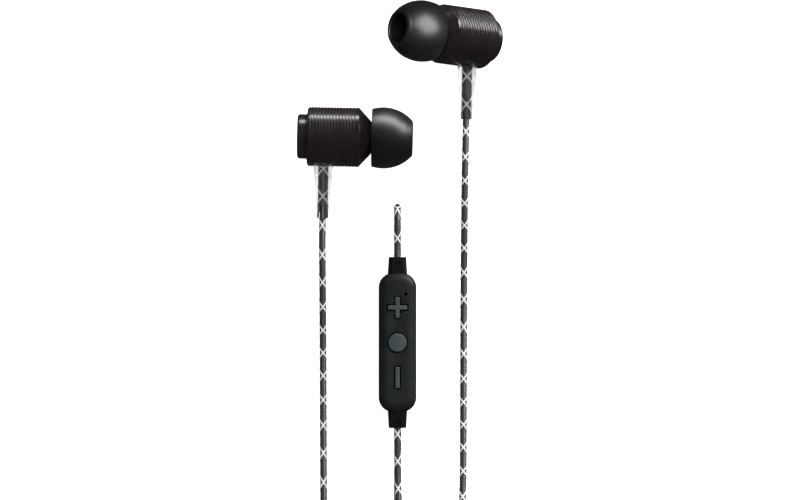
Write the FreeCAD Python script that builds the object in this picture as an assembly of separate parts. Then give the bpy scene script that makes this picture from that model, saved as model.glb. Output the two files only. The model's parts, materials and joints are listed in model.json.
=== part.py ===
import FreeCAD
import Part
import math
import os

# Wired in-ear earphones with an in-line control, laid out on a table.
# Millimetres. +Z is up and the table is z = 0. +X is to the right and +Y is from the control to the earbuds.
# The origin is under the middle of the two earbuds and the control. Each earbud and the control have a frame
# of their own: an earbud's X is its axis, from its back to its ear tip, and its lead leaves along -Y.

V = FreeCAD.Vector
AXIS_X, AXIS_Y, AXIS_Z = V(1, 0, 0), V(0, 1, 0), V(0, 0, 1)

# ---- Driving sizes -------------------------------------------------------------------------------

cord_radius = 0.7
cord_fit = 0.04  # radial room round the cord in every bore that it runs through
part_fit = 0.05  # radial room between pieces that are assembled into each other

# Earbud shell
barrel_radius = 5.92
barrel_length = 10.3
barrel_wall = 0.75
barrel_chamfer = 0.35
rear_wall = 0.8
rear_hole_radius = 4.0
rib_pitch = 0.63
rib_groove = 0.34
rib_depth = 0.08
rib_margin = 0.55
cap_radius = 4.45
cap_length = 2.0
cap_round = 0.5
cap_wall = 0.7
cap_spigot = 1.2
cone_length = 2.45
cone_end_radius = 3.2
cone_spigot = 1.4
cone_wall = 0.6
nozzle_radius = 2.3
nozzle_length = 4.75
nozzle_bore = 1.75
lip_radius = 2.6
lip_length = 0.8
mesh_thickness = 0.15
mesh_seat = 0.3
mesh_fit = 0.02

# Ear tip
tip_fit = 0.05
tip_gap = 0.1
tip_length = 8.15
tip_radius = 6.12
tip_rear_radius = 5.8
tip_nose_radius = 3.9
tip_wall = 0.55
tip_core_wall = 0.7
tip_mouth_radius = 2.95
tip_widest_at = 2.45

# Driver
frame_wall = 0.5
frame_depth = 3.2
yoke_radius = 3.3
yoke_wall = 0.45
yoke_floor = 0.6
yoke_height = 2.2
magnet_thickness = 1.0
pole_thickness = 0.5
pole_radius = 2.5
magnet_radius = 2.4
coil_inner_radius = 2.62
coil_wall = 0.12
coil_height = 1.3
coil_depth = 0.65  # how far the voice coil reaches below the top of the pole plate
diaphragm_radius = 4.3
diaphragm_thickness = 0.1
diaphragm_dome = 0.5
diaphragm_crown = 0.4  # the flat at the top of its dome
diaphragm_rise = 0.3
excursion = 0.15  # the voice coil's travel each way
excursion_room = 0.1  # what is left free beyond that travel

# Lead, where it leaves an earbud
lead_at = 3.3
lead_hole_fit = 0.12  # room for the sleeve to lean in its hole
sleeve_root_radius = 1.9
sleeve_end_radius = 1.15
sleeve_length = 10.4
sleeve_neck_radius = 1.35
sleeve_root_sink = 0.6  # a straight root follows the barrel's curve
sleeve_flange_radius = 1.8
sleeve_flange = 0.7
knot_radius = 1.1
knot_gap = 0.05

# Control
control_half_width = 3.77
control_half_length = 14.0
control_height = 5.0
control_wall = 0.8
control_corner = 2.9
control_crown_slope = 12.2
control_edge = 2.0
control_inner_edge = 0.6
control_lift = 1.5  # it lies on its own lead, which runs under it
button_gap = 0.25
button_proud = 0.12
button_travel = 0.3
button_spacing = 7.0
plus_across = 3.9
plus_along = 4.2
arm_width = 0.92
centre_radius = 1.85
flange_thickness = 0.4
flange_gap = 0.05
plus_flange = (4.8, 2.4)
centre_flange_radius = 2.5
minus_flange = (2.8, 3.2)
board_size = (5.0, 23.0)
board_thickness = 0.6
board_height = 1.4
post_size = 1.2
switch_size = 2.6
switch_height = 1.15
plunger_radius = 0.6
plunger_fit = 0.05
plunger_depth = 0.5
mic_at = (1.64, 9.7)
mic_hole_radius = 0.32
mic_size = (1.7, 1.5)
mic_height = 1.6
mic_snout_wall = 0.25
boot_root = (4.0, 2.8)
boot_end = (3.5, 2.5)
boot_length = 3.1
boot_sunk = 1.2
boot_neck_radius = 1.25
boot_flange_radius = 1.65
boot_flange = 0.6
boot_slot = (1.15, 0.6)
boot_slot_at = 1.3
boot_edge = 1.0

# Splitter
splitter_radius = 2.4
splitter_wall = 0.5
splitter_length = 12.0
splitter_core_proud = 0.2
splitter_entry_spacing = 1.56
splitter_bore_depth = 4.5

# Plug, 3.5 mm with four contacts
pin_radius = 1.75
pin_length = 14.0
contact_length = 2.3
insulator_length = 0.6
ground_length = 3.5
pin_tip_end_radius = 0.85
pin_rod_radius = 0.6
pin_rod_depth = 3.0
plug_radius = 3.0
plug_rear_radius = 2.6
plug_length = 13.0
plug_wall = 0.45
plug_lip = 0.5
plug_chamfer = 0.3
plug_lead_depth = 5.0  # how far the lead goes into the moulding
plug_straight = 4.0  # how far the lead runs straight before the plug's sleeve

# Coils of put-away cord, each held by a strap
turn_pitch = 1.43
strap_thickness = 0.43
strap_width = 3.0
strap_fit = 0.02

# ---- Where things lie ----------------------------------------------------------------------------

left_bud_at = (-18.49, 15.69)
left_bud_heading = -1.1
right_bud_at = (16.54, 35.12)
right_bud_heading = 173.6
right_bud_rise = 35.5
right_bud_roll = 183.1
right_lead_lean = -4.3  # its sleeve is bent a little towards the bud's back
control_at = (-0.5, -25.5)
splitter_at = (-0.2, -99.8)
plug_at = (16.8, -108.0)
left_coil = {"centre": (-9.4, -87.9), "outer": 7.3, "columns": 1, "layers": 2, "strap": 180}
right_coil = {"centre": (10.6, -87.9), "outer": 9.2, "columns": 2, "layers": 2, "strap": 0}
main_coil = {"centre": (-6.6, -130.5), "outer": 10.9, "columns": 4, "layers": 4, "strap": 215}

# The leads' routes, each a list of points that its centreline is drawn along. Where a lead runs through a
# sleeve, a boot, the splitter or the plug, its first or last two points come from that piece.
left_upper_route = [
    (-15.5, -11.0, 4.9), (-15.47, -19.0, 2.6), (-15.42, -27.0, 0.95), (-15.4, -40.0, 0.7), (-15.3, -60, 0.7),
    (-15.2, -68.9, 0.7), (-12.3, -72.9, 0.7), (-7.6, -74.2, 0.7), (-3.2, -72.4, 0.7), (-0.75, -68.2, 0.7),
    (-0.6, -60.5, 0.7), (-0.42, -47.0, 0.7), (-0.34, -33.0, 0.7), (-0.36, -20.5, 0.7), (-0.42, -12.0, 0.7),
    (-0.47, -6.2, 0.7), (-0.5, -2.6, 0.7), (-0.5, 0.25, 0.7), (-0.5, 1.6, 2.05), (-0.5, 1.6, 3.95),
    (-0.5, 0.25, 5.3), (-0.5, -3.3, 5.0),
]
left_lower_route = [
    (-0.48, -48.2, 3.1), (-0.42, -53.5, 2.25), (-0.2, -59.5, 2.15), (0.75, -64.8, 1.7), (1.15, -70.0, 0.95),
    (0.3, -76.0, 0.75), (-1.4, -82.0, 0.95), (-2.1, -87.9, 1.15),
]
right_route = [
    (12.96, 8.0, 6.4), (12.9, -0.5, 4.5), (12.85, -9.0, 2.15), (12.81, -17.5, 0.95), (12.77, -27.0, 0.7),
    (12.74, -41.0, 0.7), (12.66, -59.0, 0.7), (11.3, -67.5, 0.7), (7.6, -73.6, 0.7), (3.8, -78.4, 0.7),
    (1.75, -83.4, 0.9), (1.4, -87.9, 1.15),
]
left_lead_route = [(-2.1, -87.9, 4.0), (-2.1, -91.2, 3.85), (-1.6, -95.0, 3.1)]
right_lead_route = [(1.4, -87.9, 4.0), (1.4, -91.2, 3.85), (1.05, -95.0, 3.1)]
main_lead_route = [(-0.6, -115.4, 2.0), (-2.6, -118.5, 1.5), (-6.6, -119.6, 1.15)]
plug_lead_route = [
    (4.3, -130.5, 5.44), (4.4, -124.5, 5.1), (4.75, -117.0, 3.7), (5.25, -109.5, 2.1), (5.95, -103.8, 1.5),
    (9.1, -100.6, 1.3), (13.5, -100.6, 1.9),
]

# ---- Sizes that follow ---------------------------------------------------------------------------

barrel_inner_radius = barrel_radius - barrel_wall
rib_count = int((barrel_length - 2 * rib_margin - rib_groove) / rib_pitch) + 1
cone_end = barrel_length + cone_length
nozzle_end = cone_end + nozzle_length
tip_bore_radius = lip_radius + tip_fit
tip_start = cone_end + tip_gap
tip_end = tip_start + tip_length + 0.05
frame_end = barrel_length - cone_spigot
frame_start = frame_end - frame_depth
frame_radius = barrel_inner_radius - part_fit
yoke_start = frame_start - 0.7
pole_end = yoke_start + yoke_floor + magnet_thickness + pole_thickness
coil_start = pole_end - coil_depth
coil_end = coil_start + coil_height
ledge_at = coil_end + diaphragm_rise - excursion - excursion_room
knot_at = barrel_inner_radius - sleeve_flange - knot_gap - knot_radius
lead_start = knot_at + knot_radius * 0.8
insulators_at = [ground_length + i * (contact_length + insulator_length) for i in range(3)]
pin_tip_length = pin_length - insulators_at[2] - insulator_length
plate_start = control_height - control_wall
flange_top = plate_start - flange_gap
flange_bottom = flange_top - flange_thickness
board_top = board_height + board_thickness
boot_start = control_half_length - boot_sunk
shoulder_at = sleeve_length + plug_length + plug_lip


# ---- Helpers -------------------------------------------------------------------------------------


def outline(start, *steps):
    """A closed wire in the XY plane. A step is the point that a line goes to, or the two points (through, to)
    of an arc."""
    edges = []
    here = start
    for step in steps:
        if isinstance(step[0], tuple):
            through, to = step
            edges.append(Part.Arc(V(*here), V(*through), V(*to)).toShape())
        else:
            to = step
            edges.append(Part.LineSegment(V(*here), V(*to)).toShape())
        here = to
    if here != start:
        edges.append(Part.LineSegment(V(*here), V(*start)).toShape())
    return Part.Wire(edges)


def turned(start, *steps):
    """A solid of revolution about X. The outline's points are (place along X, radius)."""
    return Part.Face(outline(start, *steps)).revolve(V(), AXIS_X, 360)


def box(size, centre, bottom):
    """An upright box with its plan centred on a point."""
    corner = V(centre[0] - size[0] / 2, centre[1] - size[1] / 2, bottom)
    return Part.makeBox(*size, corner)


def post(radius, height, centre, bottom):
    return Part.makeCylinder(radius, height, V(centre[0], centre[1], bottom), AXIS_Z)


def rounded_path(points, reach=0.45):
    """Straight runs joined by tangent arcs, each as large as its two runs allow. Gives the wire, its length
    and the smallest radius."""
    points = [V(*p) for p in points]
    edges, here, length, smallest = [], points[0], 0.0, 999.0
    for before, corner, after in zip(points, points[1:], points[2:]):
        back, ahead = before - corner, after - corner
        half_turn = (math.pi - back.getAngle(ahead)) / 2
        setback = reach * min(back.Length, ahead.Length)
        radius = setback / math.tan(half_turn)
        smallest = min(smallest, radius)
        start = corner + back.normalize() * setback
        end = corner + ahead.normalize() * setback
        inward = (back + ahead).normalize()
        middle = corner + inward * (radius / math.cos(half_turn) - radius)
        edges += [Part.LineSegment(here, start).toShape(), Part.Arc(start, middle, end).toShape()]
        length += here.distanceToPoint(start) + 2 * radius * half_turn
        here = end
    edges.append(Part.LineSegment(here, points[-1]).toShape())
    length += here.distanceToPoint(points[-1])
    return Part.Wire(edges), length, smallest


def tube(name, points):
    """A lead's plain solid along its route."""
    path, length, smallest = rounded_path(points)
    direction = V(*points[1]) - V(*points[0])
    section = Part.Wire(Part.makeCircle(cord_radius, V(*points[0]), direction))
    solid = path.makePipeShell([section], True, False)
    share = solid.Volume / (math.pi * cord_radius**2 * length)
    print(f"{name}: {length:.1f} mm, smallest radius {smallest:.2f} mm, volume share {share:.4f}")
    return solid


def bud_pose(at, heading, rise, roll):
    """Places an earbud so that its lowest ring just touches the table."""
    slope = math.radians(rise)
    rings = [
        (-cap_length + cap_round * 0.3, cap_radius - cap_round * 0.3),
        (0.0, barrel_radius - barrel_chamfer),
        (barrel_chamfer, barrel_radius),
        (tip_start + tip_widest_at, tip_radius),
    ]
    lift = max(radius * math.cos(slope) - along * math.sin(slope) for along, radius in rings)
    aim = FreeCAD.Rotation(AXIS_Z, heading) * FreeCAD.Rotation(AXIS_Y, -rise)
    return FreeCAD.Placement(V(at[0], at[1], lift), aim * FreeCAD.Rotation(AXIS_X, roll))


def placed(solid, pose):
    moved = solid.copy()
    moved.Placement = pose.multiply(moved.Placement)
    return moved


# ---- Earbud --------------------------------------------------------------------------------------


def lead_bore(radius, start, end):
    """A cylinder along the earbud's lead, between two distances from the earbud's axis."""
    return Part.makeCylinder(radius, end - start, V(lead_at, -start, 0), V(0, -1, 0))


def leaning(degrees):
    """The sleeve's lean towards the earbud's back or front, about the middle of the barrel's wall."""
    pivot = V(lead_at, barrel_wall / 2 - barrel_radius, 0)
    return FreeCAD.Placement(V(), FreeCAD.Rotation(AXIS_Z, degrees), pivot)


def bud_barrel():
    points = [(0, rear_hole_radius), (0, barrel_radius - barrel_chamfer), (barrel_chamfer, barrel_radius)]
    for rib in range(rib_count):
        at = rib_margin + rib * rib_pitch
        points += [
            (at, barrel_radius),
            (at + rib_groove / 2, barrel_radius - rib_depth),
            (at + rib_groove, barrel_radius),
        ]
    points += [
        (barrel_length, barrel_radius),
        (barrel_length, barrel_inner_radius),
        (rear_wall, barrel_inner_radius),
        (rear_wall, rear_hole_radius),
    ]
    shell = turned(*points)
    hole = sleeve_neck_radius + lead_hole_fit
    return shell.cut(lead_bore(hole, barrel_inner_radius - 1, barrel_radius + 1))


def bud_cap():
    spigot = rear_hole_radius - part_fit
    back = -cap_length
    soft = cap_round * (1 - math.sqrt(0.5))
    return turned(
        (back, 0),
        (back, cap_radius - cap_round),
        ((back + soft, cap_radius - soft), (back + cap_round, cap_radius)),
        (0, cap_radius),
        (0, spigot),
        (cap_spigot, spigot),
        (cap_spigot, spigot - cap_wall),
        (back + cap_wall, spigot - cap_wall),
        (back + cap_wall, 0),
    )


def bud_cone():
    """The front cone with the nozzle and its lip."""
    spigot = barrel_inner_radius - part_fit
    inside = spigot - cone_wall
    slope = cone_length / (barrel_radius - cone_end_radius)
    throat = barrel_length + (inside - nozzle_bore) * slope
    soft = (lip_radius - nozzle_radius) / 2
    return turned(
        (frame_end, inside),
        (frame_end, spigot),
        (barrel_length, spigot),
        (barrel_length, barrel_radius),
        (cone_end, cone_end_radius),
        (cone_end, nozzle_radius),
        (nozzle_end - lip_length, nozzle_radius),
        (nozzle_end - lip_length + soft, lip_radius),
        (nozzle_end - soft, lip_radius),
        (nozzle_end, lip_radius - soft),
        (nozzle_end, nozzle_bore + mesh_seat),
        (nozzle_end - mesh_thickness, nozzle_bore + mesh_seat),
        (nozzle_end - mesh_thickness, nozzle_bore),
        (min(throat, nozzle_end - 1), nozzle_bore),
        (barrel_length, inside),
    )


def bud_mesh():
    radius = nozzle_bore + mesh_seat - mesh_fit
    return Part.makeCylinder(radius, mesh_thickness, V(nozzle_end - mesh_thickness, 0, 0), AXIS_X)


def bud_tip():
    """The silicone tip: a core that fits the nozzle, and a thin dome folded back over it."""
    core = tip_bore_radius + tip_core_wall
    widest = tip_start + tip_widest_at
    shoulder = tip_end - 0.45
    crown = widest + (shoulder - widest) * 0.55
    crown_radius = tip_nose_radius + (tip_radius - tip_nose_radius) * 0.72
    closed_at = tip_end - 2.1
    inner_wide = tip_radius - tip_wall
    return turned(
        (tip_start, tip_rear_radius),
        ((tip_start + tip_widest_at * 0.5, tip_radius - 0.08), (widest, tip_radius)),
        ((crown, crown_radius), (shoulder, tip_nose_radius)),
        ((tip_end - 0.12, tip_nose_radius - 0.35), (tip_end, tip_nose_radius - 0.65)),
        ((tip_end - 0.1, tip_mouth_radius + 0.08), (tip_end - 0.4, tip_mouth_radius)),
        (nozzle_end + 0.4, tip_bore_radius),
        (tip_start, tip_bore_radius),
        (tip_start, core),
        (closed_at - 0.4, core),
        ((closed_at - 0.1, core + 0.1), (closed_at, core + 0.4)),
        ((closed_at - 1.2, inner_wide - 0.75), (widest, inner_wide)),
        ((tip_start + tip_widest_at * 0.5, inner_wide - 0.06), (tip_start, tip_rear_radius - tip_wall * 0.8)),
    )


def bud_driver_frame():
    """A cup that holds the magnet system and carries the diaphragm's rim."""
    hole = yoke_radius + part_fit
    inner = frame_radius - frame_wall
    return turned(
        (frame_start, hole),
        (frame_start, frame_radius),
        (frame_end, frame_radius),
        (frame_end, inner),
        (ledge_at, inner),
        (ledge_at, inner - 0.6),
        (frame_start + frame_wall, inner - 0.6),
        (frame_start + frame_wall, hole),
    )


def bud_yoke():
    inner = yoke_radius - yoke_wall
    flange = yoke_radius + 0.5
    return turned(
        (yoke_start, 0),
        (yoke_start, flange),
        (frame_start, flange),
        (frame_start, yoke_radius),
        (yoke_start + yoke_height, yoke_radius),
        (yoke_start + yoke_height, inner),
        (yoke_start + yoke_floor, inner),
        (yoke_start + yoke_floor, 0),
    )


def bud_magnet():
    return Part.makeCylinder(magnet_radius, magnet_thickness, V(yoke_start + yoke_floor, 0, 0), AXIS_X)


def bud_pole_plate():
    return Part.makeCylinder(pole_radius, pole_thickness, V(pole_end - pole_thickness, 0, 0), AXIS_X)


def bud_voice_coil():
    outer = coil_inner_radius + coil_wall
    inner = coil_inner_radius
    return turned((coil_start, inner), (coil_start, outer), (coil_end, outer), (coil_end, inner))


def bud_diaphragm():
    """A domed film. Its middle is glued to the voice coil and its rim floats over the frame's ledge."""
    inner = coil_inner_radius
    outer = coil_inner_radius + coil_wall
    film = diaphragm_thickness
    rim_at = coil_end + diaphragm_rise
    half_dome = diaphragm_dome * 0.7
    return turned(
        (coil_end + diaphragm_dome, 0),
        (coil_end + diaphragm_dome, diaphragm_crown),
        ((coil_end + half_dome, inner * 0.6), (coil_end, inner)),
        (coil_end, outer),
        (rim_at, diaphragm_radius - 0.5),
        (rim_at, diaphragm_radius),
        (rim_at + film, diaphragm_radius),
        (rim_at + film, diaphragm_radius - 0.5),
        (coil_end + film, outer),
        ((coil_end + half_dome + film, inner * 0.6), (coil_end + diaphragm_dome + film, diaphragm_crown)),
        (coil_end + diaphragm_dome + film, 0),
    )


def bud_knot(lean):
    """The knotted end of the lead, which stops it from pulling out."""
    ball = Part.makeSphere(knot_radius, V(lead_at, -knot_at, 0))
    return placed(ball.cut(lead_bore(knot_radius, lead_start, barrel_radius)), leaning(lean))


def strain_sleeve(root):
    """A tapered sleeve along +X from x = 0, with a straight root behind it, and the bore through both."""
    cone = Part.makeCone(sleeve_root_radius, sleeve_end_radius, sleeve_length, V(), AXIS_X)
    if root > 0:
        cone = cone.fuse(Part.makeCylinder(sleeve_root_radius, root, V(-root, 0, 0), AXIS_X))
    bore_start = -barrel_radius
    bore_length = sleeve_length - bore_start + 1
    return cone, Part.makeCylinder(cord_radius + cord_fit, bore_length, V(bore_start, 0, 0), AXIS_X)


def bud_sleeve(lean):
    cone, bore = strain_sleeve(barrel_wall + sleeve_root_sink)
    to_lead = FreeCAD.Placement(V(lead_at, -barrel_radius, 0), FreeCAD.Rotation(AXIS_X, V(0, -1, 0)))
    inner = barrel_inner_radius
    outside = placed(placed(cone, to_lead), leaning(lean))
    outside = outside.cut(Part.makeCylinder(barrel_radius, barrel_length, V(), AXIS_X))
    neck = placed(lead_bore(sleeve_neck_radius, inner - sleeve_flange, barrel_radius + 0.5), leaning(lean))
    flange = placed(lead_bore(sleeve_flange_radius, inner - sleeve_flange, inner + 0.3), leaning(lean))
    flange = flange.common(Part.makeCylinder(inner - 0.01, barrel_length, V(), AXIS_X))
    return outside.fuse([neck, flange]).cut(placed(placed(bore, to_lead), leaning(lean))).removeSplitter()


BUD_PIECES = {
    "barrel": bud_barrel,
    "rear_cap": bud_cap,
    "front_cone": bud_cone,
    "nozzle_mesh": bud_mesh,
    "ear_tip": bud_tip,
    "driver_frame": bud_driver_frame,
    "yoke": bud_yoke,
    "magnet": bud_magnet,
    "pole_plate": bud_pole_plate,
    "voice_coil": bud_voice_coil,
    "diaphragm": bud_diaphragm,
}

LEAD_PIECES = {"lead_knot": bud_knot, "strain_sleeve": bud_sleeve}


def bud_lead_points(pose, lean):
    """Where the lead starts inside an earbud, and a point just past the sleeve that it runs straight to."""
    ends = (lead_start, barrel_radius + sleeve_length + 3)
    return [tuple(pose.multVec(leaning(lean).multVec(V(lead_at, -end, 0)))) for end in ends]


# ---- Control -------------------------------------------------------------------------------------


def control_outline(inset):
    """The control's plan: straight sides, round corners and a slightly crowned end, taken in by an inset."""
    width = control_half_width - inset
    length = control_half_length - inset
    corner = control_corner - inset
    slope = math.radians(control_crown_slope)
    chord = width - corner * (1 - math.sin(slope))
    crown_drop = chord * math.tan(slope / 2)
    corner_y = length - crown_drop - corner * math.cos(slope)
    mid = math.radians(90 - control_crown_slope) / 2
    mid_x = width - corner * (1 - math.cos(mid))
    mid_y = corner_y + corner * math.sin(mid)
    crown_y = length - crown_drop
    return outline(
        (width, -corner_y),
        (width, corner_y),
        ((mid_x, mid_y), (chord, crown_y)),
        ((0, length), (-chord, crown_y)),
        ((-mid_x, mid_y), (-width, corner_y)),
        (-width, -corner_y),
        ((-mid_x, -mid_y), (-chord, -crown_y)),
        ((0, -length), (chord, -crown_y)),
        ((mid_x, -mid_y), (width, -corner_y)),
    )


def control_block(inset, bottom, top):
    wire = control_outline(inset)
    wire.translate(V(0, 0, bottom))
    return Part.Face(wire).extrude(V(0, 0, top - bottom))


def rim_edges(solid, height):
    """The edges that lie wholly at one height."""
    flat = [e for e in solid.Edges if all(abs(v.Z - height) < 1e-6 for v in e.Vertexes)]
    return [e for e in flat if abs(e.BoundBox.ZMax - height) < 1e-3]


def control_envelope():
    whole = control_block(0, 0, control_height)
    whole = whole.makeFillet(control_edge, rim_edges(whole, control_height))
    return whole.makeFillet(control_edge, rim_edges(whole, 0))


def boot_holes():
    neck = boot_neck_radius + part_fit
    start = control_half_length + 1
    return Part.makeCylinder(neck, 2 * start, V(0, -start, control_height / 2), AXIS_Y)


def plus_prism(grow, bottom, height):
    across = box((plus_across + 2 * grow, arm_width + 2 * grow, height), (0, button_spacing), bottom)
    along = box((arm_width + 2 * grow, plus_along + 2 * grow, height), (0, button_spacing), bottom)
    return across.fuse(along).removeSplitter()


def minus_prism(grow, bottom, height):
    return box((arm_width + 2 * grow, plus_along + 2 * grow, height), (0, -button_spacing), bottom)


def control_cavity():
    """The space inside both covers, with its rims rounded."""
    cavity = control_block(control_wall, control_wall, plate_start)
    for height in (control_wall, plate_start):
        cavity = cavity.makeFillet(control_inner_edge, rim_edges(cavity, height))
    return cavity


def control_shell():
    """Both covers together, before they are parted at mid height."""
    return control_envelope().cut(control_cavity()).cut(boot_holes())


def control_top_cover():
    upper = control_block(-1, control_height / 2, control_height + 1)
    reach = control_wall + 2
    cover = control_shell().common(upper)
    cover = cover.cut(plus_prism(button_gap, plate_start - 1, reach))
    cover = cover.cut(post(centre_radius + button_gap, reach, (0, 0), plate_start - 1))
    cover = cover.cut(minus_prism(button_gap, plate_start - 1, reach))
    return cover.cut(post(mic_hole_radius, reach, mic_at, plate_start - 1))


def control_bottom_cover():
    lower = control_block(-1, -1, control_height / 2)
    cover = control_shell().common(lower)
    edge = board_size[1] / 2 - post_size
    for side in (-1, 1):
        stand = (post_size, post_size, board_height - control_wall)
        cover = cover.fuse(box(stand, (0, side * edge), control_wall))
    return cover.removeSplitter()


def plus_button():
    cap = plus_prism(0, flange_top, control_height + button_proud - flange_top)
    flange = box((*plus_flange, flange_thickness), (0, button_spacing), flange_bottom)
    return cap.fuse(flange).removeSplitter()


def centre_button():
    cap = post(centre_radius, control_height + button_proud - flange_top, (0, 0), flange_top)
    return cap.fuse(post(centre_flange_radius, flange_thickness, (0, 0), flange_bottom)).removeSplitter()


def minus_button():
    cap = minus_prism(0, flange_top, control_height + button_proud - flange_top)
    flange = box((*minus_flange, flange_thickness), (0, -button_spacing), flange_bottom)
    return cap.fuse(flange).removeSplitter()


def switch_plunger(place):
    start = board_top + switch_height - plunger_depth
    return post(plunger_radius, flange_bottom - start, (0, place), start)


def switch_bases():
    """The three switches' bodies, each with the well that its plunger sinks into."""
    well = plunger_depth + button_travel + 0.1
    bodies = []
    for place in (button_spacing, 0, -button_spacing):
        body = box((switch_size, switch_size, switch_height), (0, place), board_top)
        hole = post(plunger_radius + plunger_fit, well, (0, place), board_top + switch_height - well)
        bodies.append(body.cut(hole))
    return Part.makeCompound(bodies)


def circuit_board():
    return box((*board_size, board_thickness), (0, 0), board_height)


def microphone():
    gap = plate_start - board_top
    can = box((*mic_size, mic_height), mic_at, board_top)
    snout = post(mic_hole_radius + mic_snout_wall, gap, mic_at, board_top)
    return can.fuse(snout).cut(post(mic_hole_radius, gap - 0.4, mic_at, board_top + 0.4)).removeSplitter()


def control_boot(side):
    """The strain relief at one end of the control. Side is 1 at the plus end and -1 at the minus end."""
    middle = control_height / 2
    ends = []
    for size, at in ((boot_root, boot_start), (boot_end, control_half_length + boot_length)):
        half = (size[0] / 2, size[1] / 2)
        corners = [(-1, -1), (1, -1), (1, 1), (-1, 1)]
        wire = Part.makePolygon([V(x * half[0], at, middle + z * half[1]) for x, z in corners + corners[:1]])
        ends.append(wire)
    body = Part.makeLoft(ends, True)
    long_edges = [e for e in body.Edges if abs(e.tangentAt(e.FirstParameter).y) > 0.9]
    body = body.makeFillet(boot_edge, long_edges).cut(control_envelope())
    slot_at = (0, control_half_length + boot_length - boot_slot_at)
    slot = box((*boot_slot, 2 * control_height), slot_at, -control_height / 2)
    upright = [e for e in slot.Edges if abs(e.tangentAt(e.FirstParameter).z) > 0.9]
    slot = slot.makeFillet(boot_slot[1] * 0.49, upright)
    inner = control_half_length - control_wall
    neck = Part.makeCylinder(boot_neck_radius, control_wall + 1.1, V(0, inner - 0.3, middle), AXIS_Y)
    flange = Part.makeCylinder(boot_flange_radius, boot_flange, V(0, inner - boot_flange, middle), AXIS_Y)
    flange = flange.common(control_cavity())
    bore = Part.makeCylinder(cord_radius + cord_fit, 12, V(0, inner - 3, middle), AXIS_Y)
    keep = Part.makeCylinder(boot_neck_radius * 0.8, 12, V(0, inner - 3, middle), AXIS_Y)
    boot = body.cut(slot.cut(keep)).fuse([neck, flange]).cut(bore).removeSplitter()
    return boot if side > 0 else boot.mirror(V(), AXIS_Y)


def control_lead_points(side):
    """The two points of a lead's route that lie in the control's boot, inner one first."""
    inner = control_half_length - control_wall - boot_flange
    past = control_half_length + boot_length + 1
    height = control_lift + control_height / 2
    return [(control_at[0], control_at[1] + side * along, height) for along in (inner, past)]


# ---- Splitter and plug, each along +X from its lead's end ----------------------------------------


def splitter_shell():
    inner = splitter_radius - splitter_wall
    chamfer = 0.3
    return turned(
        (0, inner),
        (0, splitter_radius - chamfer),
        (chamfer, splitter_radius),
        (splitter_length - chamfer, splitter_radius),
        (splitter_length, splitter_radius - chamfer),
        (splitter_length, inner),
    )


def splitter_core():
    radius = splitter_radius - splitter_wall - part_fit
    proud = splitter_core_proud
    core = Part.makeCylinder(radius, splitter_length + 2 * proud, V(-proud, 0, 0), AXIS_X)
    depth = splitter_bore_depth + proud
    for y in (-splitter_entry_spacing / 2, splitter_entry_spacing / 2):
        core = core.cut(Part.makeCylinder(cord_radius + cord_fit, depth, V(-proud, y, 0), AXIS_X))
    out = splitter_length - splitter_bore_depth
    return core.cut(Part.makeCylinder(cord_radius + cord_fit, depth, V(out, 0, 0), AXIS_X))


def plug_barrel():
    return turned(
        (sleeve_length, plug_rear_radius - plug_wall),
        (sleeve_length, plug_rear_radius - plug_chamfer),
        (sleeve_length + plug_chamfer, plug_rear_radius),
        (sleeve_length + plug_length * 0.4, plug_radius),
        (sleeve_length + plug_length - plug_chamfer, plug_radius),
        (sleeve_length + plug_length, plug_radius - plug_chamfer),
        (sleeve_length + plug_length, plug_rear_radius - plug_wall),
    )


def plug_core():
    """The moulding inside the plug's barrel. The lead ends in it and the contacts stand out of it."""
    radius = plug_rear_radius - plug_wall - part_fit
    core = Part.makeCylinder(radius, plug_length + plug_lip, V(sleeve_length, 0, 0), AXIS_X)
    bore = cord_radius + cord_fit
    core = core.cut(Part.makeCylinder(bore, plug_lead_depth, V(sleeve_length, 0, 0), AXIS_X))
    rod = Part.makeCylinder(pin_rod_radius, pin_rod_depth, V(shoulder_at - pin_rod_depth, 0, 0), AXIS_X)
    return core.cut(rod)


def plug_sleeve():
    cone, bore = strain_sleeve(0)
    flipped = FreeCAD.Placement(V(sleeve_length, 0, 0), FreeCAD.Rotation(AXIS_Z, 180))
    return placed(cone.cut(bore), flipped)


def pin_ring(start, length):
    """One contact or insulator of the pin, bored for the rod of the tip contact."""
    ring = Part.makeCylinder(pin_radius, length, V(shoulder_at + start, 0, 0), AXIS_X)
    return ring.cut(Part.makeCylinder(pin_rod_radius, length, V(shoulder_at + start, 0, 0), AXIS_X))


def plug_tip_contact():
    start = shoulder_at + insulators_at[2] + insulator_length
    end = shoulder_at + pin_length
    waist = start + pin_tip_length * 0.3
    return turned(
        (shoulder_at - pin_rod_depth, 0),
        (shoulder_at - pin_rod_depth, pin_rod_radius),
        (start, pin_rod_radius),
        (start, pin_radius),
        (start + 0.3, pin_radius),
        (waist, pin_radius * 0.72),
        (waist + 0.9, pin_radius),
        (end - 0.5, pin_tip_end_radius),
        ((end - 0.15, pin_tip_end_radius * 0.8), (end, pin_tip_end_radius * 0.4)),
        (end, 0),
    )


def plug_pieces():
    contacts = [at + insulator_length for at in insulators_at[:2]]
    insulators = Part.makeCompound([pin_ring(at, insulator_length) for at in insulators_at])
    return {
        "plug_strain_sleeve": plug_sleeve(),
        "plug_barrel": plug_barrel(),
        "plug_core": plug_core(),
        "plug_ground_contact": pin_ring(0, ground_length),
        "plug_ring_contact_inner": pin_ring(contacts[0], contact_length),
        "plug_ring_contact_outer": pin_ring(contacts[1], contact_length),
        "plug_tip_contact": plug_tip_contact(),
        "plug_insulators": insulators,
    }


# ---- Coils and straps ----------------------------------------------------------------------------


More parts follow.
